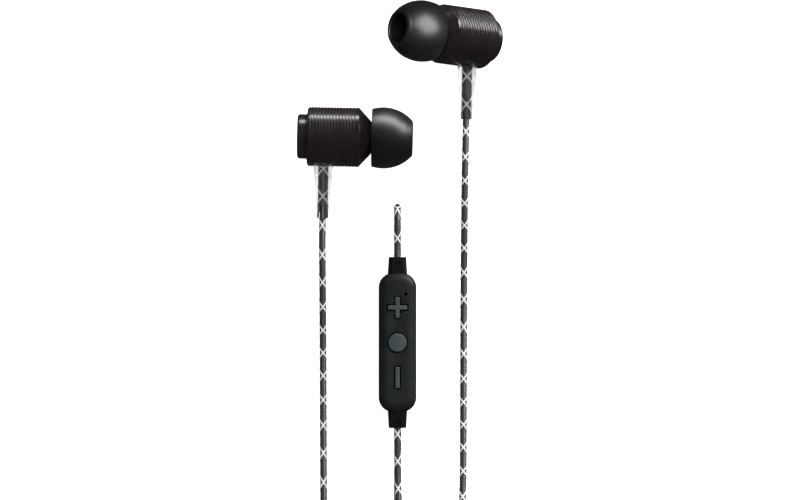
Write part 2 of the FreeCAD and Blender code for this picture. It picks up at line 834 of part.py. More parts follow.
def coil_section(coil):
    """The inner and outer radius, the bottom and the top of a coil's bundle of turns."""
    inner = coil["outer"] - coil["columns"] * turn_pitch - cord_radius
    if coil["columns"] == 1:
        inner = coil["outer"] - cord_radius
    bottom = strap_thickness + strap_fit
    return inner, coil["outer"] + cord_radius, bottom, bottom + coil["layers"] * turn_pitch


def coil_ring(coil):
    inner, outer, bottom, top = coil_section(coil)
    ring = Part.makeCylinder(outer, top - bottom, V(*coil["centre"], bottom))
    ring = ring.cut(Part.makeCylinder(inner, top - bottom, V(*coil["centre"], bottom)))
    return ring.makeFillet(cord_radius * 0.8, [e for e in ring.Edges if e.Length > 4 * inner])


def coil_strap(coil):
    inner, outer, bottom, top = coil_section(coil)
    skin = strap_fit + strap_thickness
    low, high = bottom - skin, top + skin
    near = math.sqrt(inner**2 - (strap_width / 2) ** 2)  # the ring's inner face, at the strap's two edges
    size = (outer - near + 2 * skin, strap_width, high - low)
    loop = Part.makeBox(*size, V(near - skin, -strap_width / 2, low))
    hole_size = (outer - near + 2 * strap_fit, strap_width, top - bottom + 2 * strap_fit)
    loop = loop.cut(Part.makeBox(*hole_size, V(near - strap_fit, -strap_width / 2, bottom - strap_fit)))
    turn = FreeCAD.Placement(V(*coil["centre"], 0), FreeCAD.Rotation(AXIS_Z, coil["strap"]))
    return placed(loop, turn)


# ---- The whole set -------------------------------------------------------------------------------


def build():
    made = {}
    rise = math.degrees(math.atan2(tip_radius - barrel_radius, tip_start + tip_widest_at - barrel_chamfer))
    poses = {
        "left": bud_pose(left_bud_at, left_bud_heading, rise, 0),
        "right": bud_pose(right_bud_at, right_bud_heading, right_bud_rise, right_bud_roll),
    }
    leans = {"left": 0, "right": right_lead_lean}
    for side, pose in poses.items():
        for name, make in BUD_PIECES.items():
            made[f"{side}_{name}"] = placed(make(), pose)
        for name, make in LEAD_PIECES.items():
            made[f"{side}_{name}"] = placed(make(leans[side]), pose)

    control_pose = FreeCAD.Placement(V(*control_at, control_lift), FreeCAD.Rotation())
    control = {
        "control_top_cover": control_top_cover(),
        "control_bottom_cover": control_bottom_cover(),
        "plus_button": plus_button(),
        "centre_button": centre_button(),
        "minus_button": minus_button(),
        "plus_plunger": switch_plunger(button_spacing),
        "centre_plunger": switch_plunger(0),
        "minus_plunger": switch_plunger(-button_spacing),
        "switch_bases": switch_bases(),
        "circuit_board": circuit_board(),
        "microphone": microphone(),
        "upper_boot": control_boot(1),
        "lower_boot": control_boot(-1),
    }
    for name, solid in control.items():
        made[name] = placed(solid, control_pose)

    down = FreeCAD.Rotation(AXIS_Z, -90)
    splitter_pose = FreeCAD.Placement(V(*splitter_at, splitter_radius), down)
    made["splitter_shell"] = placed(splitter_shell(), splitter_pose)
    made["splitter_core"] = placed(splitter_core(), splitter_pose)
    plug_pose = FreeCAD.Placement(V(*plug_at, plug_radius), down)
    for name, solid in plug_pieces().items():
        made[name] = placed(solid, plug_pose)

    for name, coil in (("left_coil", left_coil), ("right_coil", right_coil), ("main_coil", main_coil)):
        made[name] = coil_ring(coil)
    made["coil_straps"] = Part.makeCompound([coil_strap(c) for c in (left_coil, right_coil, main_coil)])

    def splitter_points(across, start, end):
        return [tuple(splitter_pose.multVec(V(along, across, 0))) for along in (start, end)]

    half = splitter_entry_spacing / 2
    inside = splitter_bore_depth
    upper_boot, lower_boot = control_lead_points(1), control_lead_points(-1)
    plug_ends = (-plug_straight, sleeve_length + plug_lead_depth)
    into_plug = [tuple(plug_pose.multVec(V(along, 0, 0))) for along in plug_ends]
    leave_left = bud_lead_points(poses["left"], leans["left"])
    leave_right = bud_lead_points(poses["right"], leans["right"])
    routes = {
        "left_upper_cord": leave_left + left_upper_route + upper_boot[::-1],
        "left_lower_cord": lower_boot + left_lower_route,
        "right_cord": leave_right + right_route,
        "left_lead": left_lead_route + splitter_points(-half, -1.2, inside),
        "right_lead": right_lead_route + splitter_points(half, -1.2, inside),
        "main_lead": splitter_points(0, splitter_length - inside, splitter_length + 1.0) + main_lead_route,
        "plug_lead": plug_lead_route + into_plug,
    }
    for name, route in routes.items():
        print(name, [tuple(round(x, 2) for x in p) for p in route[:2] + route[-2:]])
        made[name] = tube(name, route)
    return made


os.makedirs("parts", exist_ok=True)
for node, shape in build().items():
    shape.exportStep(f"parts/{node}.step")
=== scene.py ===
import json
import math

import bmesh
import bpy
from mathutils import Matrix, Vector

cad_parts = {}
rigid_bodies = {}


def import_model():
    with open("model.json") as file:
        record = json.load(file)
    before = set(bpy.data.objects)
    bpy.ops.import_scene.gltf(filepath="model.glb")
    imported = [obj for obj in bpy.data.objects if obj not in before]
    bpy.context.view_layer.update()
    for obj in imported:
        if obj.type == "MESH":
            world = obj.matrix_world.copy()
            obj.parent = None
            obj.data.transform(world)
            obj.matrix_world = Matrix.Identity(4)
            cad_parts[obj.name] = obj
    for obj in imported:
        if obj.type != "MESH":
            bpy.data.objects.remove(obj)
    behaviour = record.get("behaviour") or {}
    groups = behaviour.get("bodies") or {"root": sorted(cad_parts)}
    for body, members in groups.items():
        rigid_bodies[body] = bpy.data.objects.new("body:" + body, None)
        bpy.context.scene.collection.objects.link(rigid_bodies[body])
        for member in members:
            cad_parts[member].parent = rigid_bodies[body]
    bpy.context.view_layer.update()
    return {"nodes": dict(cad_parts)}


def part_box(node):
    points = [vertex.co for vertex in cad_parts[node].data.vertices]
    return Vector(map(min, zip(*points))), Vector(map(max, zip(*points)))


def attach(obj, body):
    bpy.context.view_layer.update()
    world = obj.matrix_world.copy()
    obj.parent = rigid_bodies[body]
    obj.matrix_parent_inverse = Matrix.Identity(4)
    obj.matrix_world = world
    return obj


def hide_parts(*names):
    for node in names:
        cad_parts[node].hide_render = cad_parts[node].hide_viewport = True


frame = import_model()

MM = 0.001
TURN = 2 * math.pi

# ---- Sizes in millimetres --------------------------------------------------------------------------
#
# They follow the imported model's. The cord, the sleeves' bore and the ribs' groove are narrower here.

cord_radius = 0.68
cord_height = 0.7  # of a cord's middle, where it lies on the table
lay_radius = 0.655  # where the tracer threads' middle runs
thread_width = 0.43
thread_thickness = 0.17
thread_pitch = 5.1
thread_step = 0.2  # between the points that a thread is made from
barrel_radius = 5.92
barrel_length = 10.3
barrel_wall = 0.75
barrel_chamfer = 0.35
rear_wall = 0.8
rear_hole_radius = 4.0
rib_pitch = 0.63
rib_groove = 0.20
rib_depth = 0.08
rib_margin = 0.55
rib_edge = 0.07
rib_width = rib_pitch - rib_groove
first_rib = rib_margin + rib_groove + rib_width / 2
rib_count = int((barrel_length - 2 * rib_margin - rib_groove) / rib_pitch) + 1
turned_fit = 0.05  # between one turned piece and the next
cap_radius = 4.45
cap_length = 2.0
cap_spigot = 1.2
cap_wall = 0.7
cone_end = 12.75
cone_end_radius = 3.2
cone_spigot = 1.4
nozzle_radius = 2.3
nozzle_end = 17.5
nozzle_bore = 1.75
lip_radius = 2.6
lip_length = 0.8
mesh_radius = 2.03
gauze_wires = 25
gauze_wire_radius = 0.035
gauze_depth = 0.12  # from the nozzle's end to the gauze
tip_start = 12.85
tip_end = 21.05
tip_radius = 6.12
tip_rear_radius = 5.8
tip_nose_radius = 3.9
tip_mouth_radius = 2.95
tip_wall = 0.55
tip_core_wall = 0.7
tip_bore_radius = 2.65
tip_widest = tip_start + 2.45
lead_at = 3.3
lead_start = 4.2
lead_past_sleeve = 3.0  # how far the cord goes on straight
sleeve_root_radius = 1.9
sleeve_end_radius = 1.15
sleeve_length = 10.4
sleeve_bore = 0.6  # the sleeve is moulded tight on the cord
splitter_radius = 2.4
splitter_length = 12.0
splitter_wall = 0.5
plug_radius = 3.0
plug_rear_radius = 2.6
plug_length = 13.0
plug_wall = 0.45
end_chamfer = 0.3
turn_pitch = 1.43
lowest_turn = 1.15  # the height of the middle of a coil's lowest turn
strap_thickness = 0.43
strap_width = 3.0

left_bud = {"at": (-18.49, 15.69), "heading": -1.1, "rise": 0.7665, "roll": 0.0, "lean": 0.0}
right_bud = {"at": (16.54, 35.12), "heading": 173.6, "rise": 35.5, "roll": 183.1, "lean": -4.3}
control_at = Vector((-0.5, -25.5, 1.5))
splitter_at = Vector((-0.2, -99.8, 2.4))
plug_at = Vector((16.8, -108.0, 3.0))
left_coil = {"centre": (-9.4, -87.9), "outer": 7.3, "columns": 1, "layers": 2, "strap": 180}
right_coil = {"centre": (10.6, -87.9), "outer": 9.2, "columns": 2, "layers": 2, "strap": 0}
main_coil = {"centre": (-6.6, -130.5), "outer": 10.9, "columns": 4, "layers": 4, "strap": 215}


# ---- Building helpers ------------------------------------------------------------------------------


def add(tree, kind, inputs=None, **settings):
    """A node with its settings, and its sockets set to numbers or joined to other sockets."""
    node = tree.nodes.new(kind)
    for key, value in settings.items():
        setattr(node, key, value)
    for key, value in (inputs or {}).items():
        if isinstance(value, bpy.types.NodeSocket):
            tree.links.new(value, node.inputs[key])
        else:
            node.inputs[key].default_value = value
    return node


def math_node(tree, operation, *values):
    return add(tree, "ShaderNodeMath", dict(enumerate(values)), operation=operation).outputs[0]


def piece(name, mesh, body, material=None, stands_for=()):
    """A finished mesh as a named piece that rides on a body."""
    thing = bpy.data.objects.new(name, mesh)
    bpy.context.scene.collection.objects.link(thing)
    if material:
        mesh.materials.clear()
        mesh.materials.append(material)
    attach(thing, body)
    if stands_for:
        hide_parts(*stands_for)
    return thing


def evaluated_mesh(thing):
    """The mesh that an object's modifiers give. The object is taken away."""
    graph = bpy.context.evaluated_depsgraph_get()
    mesh = bpy.data.meshes.new_from_object(thing.evaluated_get(graph), depsgraph=graph)
    bpy.data.objects.remove(thing)
    return mesh


def eased(mesh, width, steps=3, angle=32):
    """The mesh with its hard edges rounded over by a width in millimetres, and shaded smooth."""
    mesh.polygons.foreach_set("use_smooth", [True] * len(mesh.polygons))
    if not width:
        return mesh
    holder = bpy.data.objects.new("easing", mesh)
    bpy.context.scene.collection.objects.link(holder)
    bevel = holder.modifiers.new("ease", "BEVEL")
    bevel.width = width * MM
    bevel.segments = steps
    bevel.limit_method = "ANGLE"
    bevel.angle_limit = math.radians(angle)
    bevel.harden_normals = True
    bevel.use_clamp_overlap = True
    return evaluated_mesh(holder)


def skinned(name, rings, marks, place, joined):
    """A skin over rings of points in millimetres. A ring of one point is a pole. Its UV map holds the share
    of the way round, and the mark of each ring. Joined closes the last ring to the first."""
    vertices, starts = [], []
    for ring in rings:
        starts.append(len(vertices))
        vertices += [place @ Vector(p) * MM for p in ring]
    faces, uvs = [], []
    pairs = list(zip(range(len(rings)), range(1, len(rings))))
    if joined:
        pairs.append((len(rings) - 1, 0))
    for low, high in pairs:
        count = max(len(rings[low]), len(rings[high]))
        if count == 1:
            continue
        top = marks[high] if high else marks[low] + (marks[1] - marks[0])
        for j in range(count):
            k = (j + 1) % count
            corners = []
            if len(rings[low]) > 1:
                corners += [(starts[low] + k, (j + 1) / count, marks[low])]
                corners += [(starts[low] + j, j / count, marks[low])]
            else:
                corners += [(starts[low], (j + 0.5) / count, marks[low])]
            if len(rings[high]) > 1:
                corners += [(starts[high] + j, j / count, top)]
                corners += [(starts[high] + k, (j + 1) / count, top)]
            else:
                corners += [(starts[high], (j + 0.5) / count, top)]
            faces.append([c[0] for c in corners])
            uvs += [(c[1], c[2]) for c in corners]
    mesh = bpy.data.meshes.new(name)
    mesh.from_pydata(vertices, [], faces)
    layer = mesh.uv_layers.new(name="UVMap")
    layer.data.foreach_set("uv", [n for uv in uvs for n in uv])
    shape = bmesh.new()
    shape.from_mesh(mesh)
    bmesh.ops.recalc_face_normals(shape, faces=shape.faces)
    shape.to_mesh(mesh)
    shape.free()
    mesh.validate()
    return mesh


def arc_through(start, through, end, steps):
    """Points of the arc from start, not included, through one point to the end."""
    (ax, ay), (bx, by), (cx, cy) = start, through, end
    d = 2 * (ax * (by - cy) + bx * (cy - ay) + cx * (ay - by))
    a2, b2, c2 = ax * ax + ay * ay, bx * bx + by * by, cx * cx + cy * cy
    ux = (a2 * (by - cy) + b2 * (cy - ay) + c2 * (ay - by)) / d
    uy = (a2 * (cx - bx) + b2 * (ax - cx) + c2 * (bx - ax)) / d
    radius = math.hypot(ax - ux, ay - uy)
    first = math.atan2(ay - uy, ax - ux)
    middle = (math.atan2(by - uy, bx - ux) - first) % TURN
    last = (math.atan2(cy - uy, cx - ux) - first) % TURN
    sweep = last if middle < last else last - TURN
    angles = [first + sweep * i / steps for i in range(1, steps + 1)]
    return [(ux + radius * math.cos(a), uy + radius * math.sin(a)) for a in angles]


def outline(start, *steps, arc_steps=14):
    """A turned piece's outline, of (place along the axis, radius) points. A step is a point, or the two
    points (through, to) of an arc."""
    points = [start]
    for step in steps:
        if isinstance(step[0], tuple):
            points += arc_through(points[-1], step[0], step[1], arc_steps)
        else:
            points.append(step)
    return points


def turned(name, points, place, sides=128, ease=0.06):
    """A closed piece turned about the X axis from its outline."""
    rings, marks, along = [], [], 0.0
    for (x, r), before in zip(points, points[:1] + points[:-1]):
        along += math.hypot(x - before[0], r - before[1])
        marks.append(along)
        if r < 1e-6:
            rings.append([(x, 0, 0)])
        else:
            angles = [TURN * j / sides for j in range(sides)]
            rings.append([(x, r * math.cos(a), r * math.sin(a)) for a in angles])
    return eased(skinned(name, rings, marks, place, True), ease)


def copied(node, ease, steps=3, dissolve=0.6):
    """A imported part's shape, welded into whole faces, with its hard edges eased."""
    shape = bmesh.new()
    shape.from_mesh(frame["nodes"][node].data)
    bmesh.ops.remove_doubles(shape, verts=shape.verts, dist=2e-6)
    bmesh.ops.dissolve_limit(
        shape, angle_limit=math.radians(dissolve), verts=shape.verts, edges=shape.edges
    )
    mesh = bpy.data.meshes.new(node)
    shape.to_mesh(mesh)
    shape.free()
    return eased(mesh, ease, steps)


def bud_place(bud):
    """Where an earbud lies, with its lowest ring just on the table."""
    slope = math.radians(bud["rise"])
    rings = [
        (0.15 - cap_length, cap_radius - 0.15),
        (0.0, barrel_radius - barrel_chamfer),
        (barrel_chamfer, barrel_radius),
        (tip_widest, tip_radius),
    ]
    lift = max(radius * math.cos(slope) - along * math.sin(slope) for along, radius in rings)
    turn = Matrix.Rotation(math.radians(bud["heading"]), 4, "Z") @ Matrix.Rotation(-slope, 4, "Y")
    turn = turn @ Matrix.Rotation(math.radians(bud["roll"]), 4, "X")
    return Matrix.Translation((*bud["at"], lift)) @ turn


def leaning(bud):
    """The lean of an earbud's sleeve, about the middle of the barrel's wall."""
    pivot = Vector((lead_at, barrel_wall / 2 - barrel_radius, 0))
    lean = Matrix.Rotation(math.radians(bud["lean"]), 4, "Z")
    return Matrix.Translation(pivot) @ lean @ Matrix.Translation(-pivot)


def lead_points(bud):
    """The two ends of the straight run of cord that leaves an earbud."""
    place = bud_place(bud) @ leaning(bud)
    ends = (lead_start, barrel_radius + sleeve_length + lead_past_sleeve)
    return [tuple(place @ Vector((lead_at, -end, 0))) for end in ends]


# ---- Camera ----------------------------------------------------------------------------------------

camera = bpy.data.objects.new("camera", bpy.data.cameras.new("camera"))
bpy.context.scene.collection.objects.link(camera)
camera.location = (0.0, -0.007, 1.205)
camera.data.lens = 270
camera.data.sensor_width = 36
camera.data.clip_start = 0.01
camera.data.clip_end = 20
bpy.context.scene.camera = camera


# ---- Materials -------------------------------------------------------------------------------------


socket_names = {
    "coat_weight": "Coat Weight", "coat_roughness": "Coat Roughness", "sheen_weight": "Sheen Weight",
    "sheen_roughness": "Sheen Roughness", "specular_level": "Specular IOR Level",
    "transmission": "Transmission Weight", "ior": "IOR",
}


class Finish:
    """A material being made: its tree, its shader, and short ways to its patterns."""

    def __init__(self, name, colour, roughness, metallic=0.0, **more):
        self.material = bpy.data.materials.new(name)
        self.material.use_nodes = True
        self.tree = self.material.node_tree
        self.tree.nodes.clear()
        inputs = {"Base Color": (*colour, 1), "Roughness": roughness, "Metallic": metallic}
        inputs |= {socket_names[key]: value for key, value in more.items()}
        self.shader = add(self.tree, "ShaderNodeBsdfPrincipled", inputs)
        add(self.tree, "ShaderNodeOutputMaterial", {"Surface": self.shader.outputs[0]})
        self.normal = None

    def add(self, kind, inputs=None, **settings):
        return add(self.tree, kind, inputs, **settings)

    def math(self, operation, *values):
        return math_node(self.tree, operation, *values)

    def place(self):
        return self.add("ShaderNodeTexCoord").outputs["Object"]

    def around_and_along(self):
        """The share of the way round, and the millimetres along, of a turned piece or a cord."""
        map_of = self.add("ShaderNodeUVMap", uv_map="UVMap")
        parts = self.add("ShaderNodeSeparateXYZ", {"Vector": map_of.outputs[0]})
        return parts.outputs["X"], parts.outputs["Y"]

    def attribute(self, name):
        return self.add("ShaderNodeAttribute", attribute_name=name).outputs["Fac"]

    def noise(self, size, detail=3.0, roughness=0.55):
        """Noise over the piece's own place, with spots about a size in millimetres."""
        inputs = {"Vector": self.place(), "Scale": 1 / (size * MM)}
        inputs |= {"Detail": detail, "Roughness": roughness}
        return self.add("ShaderNodeTexNoise", inputs).outputs[0]

    def rings(self, along, per_mm, detail=2.0):
        """Noise that changes only along a piece, as a lathe tool leaves it."""
        inputs = {"W": self.math("MULTIPLY", along, per_mm), "Scale": 1.0, "Detail": detail}
        return self.add("ShaderNodeTexNoise", inputs, noise_dimensions="1D").outputs[0]

    def ranged(self, value, low, high, out_low, out_high):
        """A value from one range brought to another."""
        inputs = {"Value": value, "From Min": low, "From Max": high, "To Min": out_low, "To Max": out_high}
        return self.add("ShaderNodeMapRange", inputs).outputs[0]

    def tint(self, amount, low, high):
        """The base colour between two colours, by an amount from 0 to 1."""
        mix = self.add("ShaderNodeMix", data_type="RGBA")
        self.tree.links.new(amount, mix.inputs[0])
        mix.inputs[6].default_value = (*low, 1)
        mix.inputs[7].default_value = (*high, 1)
        self.tree.links.new(mix.outputs[2], self.shader.inputs["Base Color"])

    def clouded(self, noise, low, high):
        """The base colour between two colours, in soft clouds."""
        self.tint(self.ranged(noise, 0.35, 0.7, 0, 1), low, high)

    def shine(self, amount, low, high):
        """The roughness between two values, by a noise."""
        rough = self.ranged(amount, 0.25, 0.75, low, high)
        self.tree.links.new(rough, self.shader.inputs["Roughness"])

    def relief(self, height, depth, strength=1.0):
        """Bumps of a depth in millimetres, over any that are there already."""
        inputs = {"Height": height, "Distance": depth * MM, "Strength": strength}
        if self.normal:
            inputs["Normal"] = self.normal
        self.normal = self.add("ShaderNodeBump", inputs).outputs[0]
        self.tree.links.new(self.normal, self.shader.inputs["Normal"])


def shell_black(name, colour, low, high, grain):
    """Black anodised metal, turned on a lathe: fine rings, a soft grain, and slightly browned blacks."""
    finish = Finish(name, colour, 0.3, specular_level=0.42, coat_weight=0.06, coat_roughness=0.15)
    along = finish.around_and_along()[1]
    lathe = finish.rings(along, 9.0, 3.0)
    cloud = finish.noise(2.2, 2.0)
    uneven = finish.math("ADD", finish.math("MULTIPLY", lathe, 0.6), finish.math("MULTIPLY", cloud, 0.4))
    finish.shine(uneven, low, high)
    warm = tuple(c * s for c, s in zip(colour, (1.45, 1.3, 1.3)))
    finish.clouded(cloud, colour, warm)
    finish.relief(lathe, 0.008)
    finish.relief(finish.noise(0.09, 2.0), grain)
    return finish.material


def silicone_black():
    """Black silicone with a fine grain and a slow swell of its skin."""
    finish = Finish("black_silicone", (0.004, 0.004, 0.004), 0.4, specular_level=0.85)
    finish.clouded(finish.noise(3.0, 3.0), (0.0018, 0.0020, 0.0021), (0.0042, 0.0046, 0.0048))
    finish.shine(finish.noise(0.6, 4.0), 0.35, 0.44)
    finish.relief(finish.noise(0.11, 2.0), 0.0035)
    finish.relief(finish.noise(1.7, 1.0), 0.02, 0.5)
    return finish.material


def clear_vinyl():
    """Clear soft plastic gone slightly milky, with flow marks along the sleeve."""
    finish = Finish("clear_vinyl", (0.86, 0.88, 0.89), 0.12, ior=1.49, transmission=1.0, specular_level=0.5)
    along = finish.around_and_along()[1]
    finish.clouded(finish.noise(1.6, 2.0), (0.50, 0.515, 0.52), (0.68, 0.695, 0.70))
    finish.shine(finish.noise(0.9, 2.0), 0.06, 0.15)
    finish.relief(finish.rings(along, 0.7), 0.012, 0.5)
    return finish.material


def cord_jacket():
    """The cord's dark sleeve, a fine braid of eight strands each way, that climbs 1.15 mm in a turn."""
    strands, climb_pitch = 8, 1.15
    finish = Finish("dark_braided_jacket", (0.04, 0.042, 0.044), 0.4, specular_level=0.7)
    around, along = finish.around_and_along()
    turns = finish.math("MULTIPLY", around, TURN * strands)
    climb = finish.math("MULTIPLY", along, TURN / climb_pitch)
    one = finish.math("SINE", finish.math("ADD", turns, climb))
    other = finish.math("SINE", finish.math("SUBTRACT", turns, climb))
    weave = finish.math("MULTIPLY", one, other)
    slant = finish.math("ADD", finish.math("MULTIPLY", turns, 4.0), finish.math("MULTIPLY", climb, 2.0))
    fibre = finish.math("SINE", slant)
    height = finish.math("ADD", weave, finish.math("MULTIPLY", fibre, 0.18))
    raised = finish.ranged(height, -1.1, 1.1, 0, 1)
    # The braid's hollows are painted darker than its raised strands: painted shade between the strands.
    finish.tint(raised, (0.0115, 0.012, 0.0127), (0.040, 0.0415, 0.044))
    finish.shine(finish.noise(4.0, 3.0), 0.34, 0.48)
    finish.relief(height, 0.016, 0.8)
    finish.relief(finish.noise(0.12, 2.0), 0.008)
    return finish.material


def tracer_white():
    """A white twisted thread. Its filaments lean along it."""
    twist_pitch = 0.34
    finish = Finish("white_tracer_thread", (0.86, 0.86, 0.85), 0.62, sheen_weight=0.3, sheen_roughness=0.5)
    climb = finish.math("MULTIPLY", finish.attribute("along"), TURN / twist_pitch / MM)
    turns = finish.math("MULTIPLY", finish.attribute("across"), TURN * 2)
    filament = finish.math("SINE", finish.math("ADD", climb, turns))
    # The hollows between the filaments are painted darker: painted shade in the twist.
    finish.tint(finish.ranged(filament, -1.0, 0.6, 0, 1), (0.80, 0.80, 0.80), (0.96, 0.96, 0.955))
    finish.relief(filament, 0.018, 0.8)
    return finish.material


def moulded(name, colour, other, low, high, grain=0.05, depth=0.006, **more):
    """Moulded plastic or rubber with a fine sparked texture and a slight unevenness of colour."""
    finish = Finish(name, colour, low, **more)
    finish.clouded(finish.noise(2.5, 4.0), colour, other)
    spark = finish.noise(grain, 2.0)
    finish.shine(spark, low, high)
    finish.relief(spark, depth)
    finish.relief(finish.noise(grain * 9, 2.0), depth * 1.5, 0.6)
    return finish.material


def metal(name, colour, other, low, high, grain=0.06, depth=0.003):
    """Bare or plated metal with faint clouding and fine drawn marks."""
    finish = Finish(name, colour, low, 1.0)
    cloud = finish.noise(1.4, 4.0)
    finish.tint(finish.ranged(cloud, 0.3, 0.75, 0, 1), colour, other)
    finish.shine(finish.noise(0.35, 4.0), low, high)
    finish.relief(finish.noise(grain, 3.0), depth)
    return finish.material


def board_green():
    """Solder mask over copper tracks, with the tracks showing as paler lines."""
    finish = Finish("board_green", (0.01, 0.07, 0.03), 0.35, coat_weight=0.4, coat_roughness=0.15)
    inputs = {"Vector": finish.place(), "Scale": 900.0}
    cell = finish.add("ShaderNodeTexVoronoi", inputs, feature="DISTANCE_TO_EDGE").outputs["Distance"]
    finish.tint(finish.ranged(cell, 0.02, 0.09, 1, 0), (0.006, 0.045, 0.022), (0.03, 0.16, 0.06))
    finish.relief(cell, 0.02)
    return finish.material


def copper_wound():
    """Enamelled copper wire, wound side by side."""
    finish = Finish("enamelled_copper", (0.62, 0.25, 0.09), 0.28, 1.0)
    inputs = {"Vector": finish.place(), "Scale": 2200.0, "Distortion": 0.6}
    windings = finish.add("ShaderNodeTexWave", inputs).outputs["Fac"]
    # The hollows between the windings are painted darker: painted shade between the wires.
    finish.tint(windings, (0.42, 0.15, 0.05), (0.78, 0.34, 0.13))
    finish.relief(windings, 0.02)
    return finish.material


def diaphragm_film():
    """Thin yellowish film, a little cloudy."""
    finish = Finish("clear_film", (0.72, 0.66, 0.45), 0.18, ior=1.5, transmission=0.55)
    ring = finish.noise(0.7, 3.0)
    finish.tint(ring, (0.62, 0.55, 0.34), (0.80, 0.75, 0.58))
    finish.relief(ring, 0.02)
    return finish.material


barrel_black = shell_black("black_turned_barrel", (0.0108, 0.0082, 0.0086), 0.17, 0.27, 0.0010)
cap_black = shell_black("black_satin_cap", (0.0112, 0.0088, 0.0090), 0.22, 0.32, 0.0020)
tip_black = silicone_black()
sleeve_clear = clear_vinyl()
jacket_grey = cord_jacket()
tracer = tracer_white()
cover_black = moulded(
    "matt_cover", (0.0085, 0.0100, 0.0102), (0.0120, 0.0138, 0.0140), 0.46, 0.60, 0.07, 0.006,
    specular_level=0.35,
)
key_slate = moulded("slate_key_rubber", (0.036, 0.049, 0.051), (0.049, 0.064, 0.066), 0.42, 0.56, 0.09)
boot_rubber = moulded(
    "black_boot_rubber", (0.0026, 0.0029, 0.0030), (0.0052, 0.0056, 0.0057), 0.30, 0.42, 0.08, 0.006,
    specular_level=0.5,
)
# Rougher than the barrel, and a little darker: the darker colour is painted shade in the grooves between the
# ribs.
groove_shade_black = shell_black("black_rib_groove_painted_shade", (0.0100, 0.0076, 0.0080), 0.38, 0.48, 0.0010)
# Near-black and very rough: painted shade on the keys' sides in the gaps round them, and the microphone's
# own black.
gap_shade_and_mic_black = moulded(
    "key_gap_shade_and_mic_black", (0.0010, 0.0010, 0.0011), (0.0020, 0.0020, 0.0021), 0.7, 0.85, specular_level=0.1
)
strap_rubber = moulded("strap_rubber", (0.012, 0.012, 0.013), (0.022, 0.022, 0.023), 0.5, 0.66, 0.1, 0.012)
plastic_black = moulded("driver_plastic", (0.012, 0.012, 0.013), (0.02, 0.02, 0.021), 0.4, 0.55)
moulding_black = moulded("black_moulding", (0.010, 0.010, 0.011), (0.016, 0.016, 0.017), 0.35, 0.5)
switch_cream = moulded("switch_plastic", (0.55, 0.52, 0.44), (0.64, 0.61, 0.53), 0.4, 0.55)
steel_bright = metal("nickel_steel", (0.46, 0.45, 0.43), (0.58, 0.57, 0.55), 0.22, 0.4)
magnet_grey = metal("plated_magnet", (0.52, 0.52, 0.53), (0.66, 0.66, 0.67), 0.12, 0.26)
gauze_steel = metal("gauze_wire", (0.30, 0.30, 0.31), (0.42, 0.42, 0.43), 0.3, 0.45)
contact_gold = metal("gold_plate", (0.82, 0.58, 0.24), (0.92, 0.70, 0.36), 0.14, 0.28)
splitter_black = shell_black("black_turned_fittings", (0.0120, 0.0100, 0.0102), 0.22, 0.36, 0.0015)
board = board_green()
copper = copper_wound()
film = diaphragm_film()


# ---- Cords -----------------------------------------------------------------------------------------


def on_table(*places):
    """Points of a cord where it lies on the table."""
    return [(x, y, cord_height) for x, y in places]


left_upper_route = [
    *lead_points(left_bud), (-15.5, -11.0, 4.9), (-15.47, -19.0, 2.6), (-15.42, -27.0, 0.95),
    *on_table((-15.4, -40.0), (-15.3, -60), (-15.2, -68.9), (-12.3, -72.9), (-7.6, -74.2), (-3.2, -72.4)),
    *on_table((-0.75, -68.2), (-0.6, -60.5), (-0.42, -47.0), (-0.34, -33.0), (-0.36, -20.5)),
    *on_table((-0.42, -12.0), (-0.47, -6.2), (-0.5, -2.6), (-0.5, 0.25)), (-0.5, 1.6, 2.05),
    (-0.5, 1.6, 3.95), (-0.5, 0.25, 5.3), (-0.5, -3.3, 5.0), (-0.5, -7.4, 4.0), (-0.5, -12.9, 4.0),
]
left_lower_route = [
    (-0.5, -38.1, 4.0), (-0.5, -43.6, 4.0), (-0.48, -48.2, 3.1), (-0.42, -53.5, 2.25), (-0.2, -59.5, 2.15),
    (0.75, -64.8, 1.7), (1.15, -70.0, 0.95), (0.3, -76.0, 0.75), (-1.4, -82.0, 0.95), (-2.1, -87.9, 1.15),
]
left_lead_route = [
    (-2.1, -87.9, 4.0), (-2.1, -91.2, 3.85), (-1.6, -95.0, 3.1), (-0.98, -98.6, 2.4), (-0.98, -104.3, 2.4),
]
right_route = [
    *lead_points(right_bud), (12.96, 8.0, 6.4), (12.9, -0.5, 4.5), (12.85, -9.0, 2.15), (12.81, -17.5, 0.95),
    *on_table((12.77, -27.0), (12.74, -41.0), (12.66, -59.0), (11.3, -67.5), (7.6, -73.6), (3.8, -78.4)),
    (1.75, -83.4, 0.9), (1.4, -87.9, 1.15),
]
right_lead_route = [
    (1.4, -87.9, 4.0), (1.4, -91.2, 3.85), (1.05, -95.0, 3.1), (0.58, -98.6, 2.4), (0.58, -104.3, 2.4),
]
main_lead_route = [
    (-0.2, -107.3, 2.4), (-0.2, -112.8, 2.4), (-0.6, -115.4, 2.0), (-2.6, -118.5, 1.5),
    (-6.6, -119.6, 1.15),
]
plug_lead_route = [
    (4.3, -130.5, 5.44), (4.4, -124.5, 5.1), (4.75, -117.0, 3.7), (5.25, -109.5, 2.1), (5.95, -103.8, 1.5),
    (9.1, -100.6, 1.3), (13.5, -100.6, 1.9), (16.8, -104.0, 3.0), (16.8, -123.4, 3.0),
]

points_a_turn = 16
side_step = 0.5  # how far a turn bows aside while it climbs past its neighbours
shift_from, shift_over = 9.5, 4.5  # where in a turn it moves to the next slot, in points, and for how many


def coil_slots(coil):
    """The (radius, height) of each turn: inwards on one layer, and outwards on the next."""
    radii = [coil["outer"] - column * turn_pitch for column in range(coil["columns"])]
    slots = []
    for layer in range(coil["layers"]):
        height = lowest_turn + layer * turn_pitch
        slots += [(radius, height) for radius in (radii[::-1] if layer % 2 else radii)]
    return slots


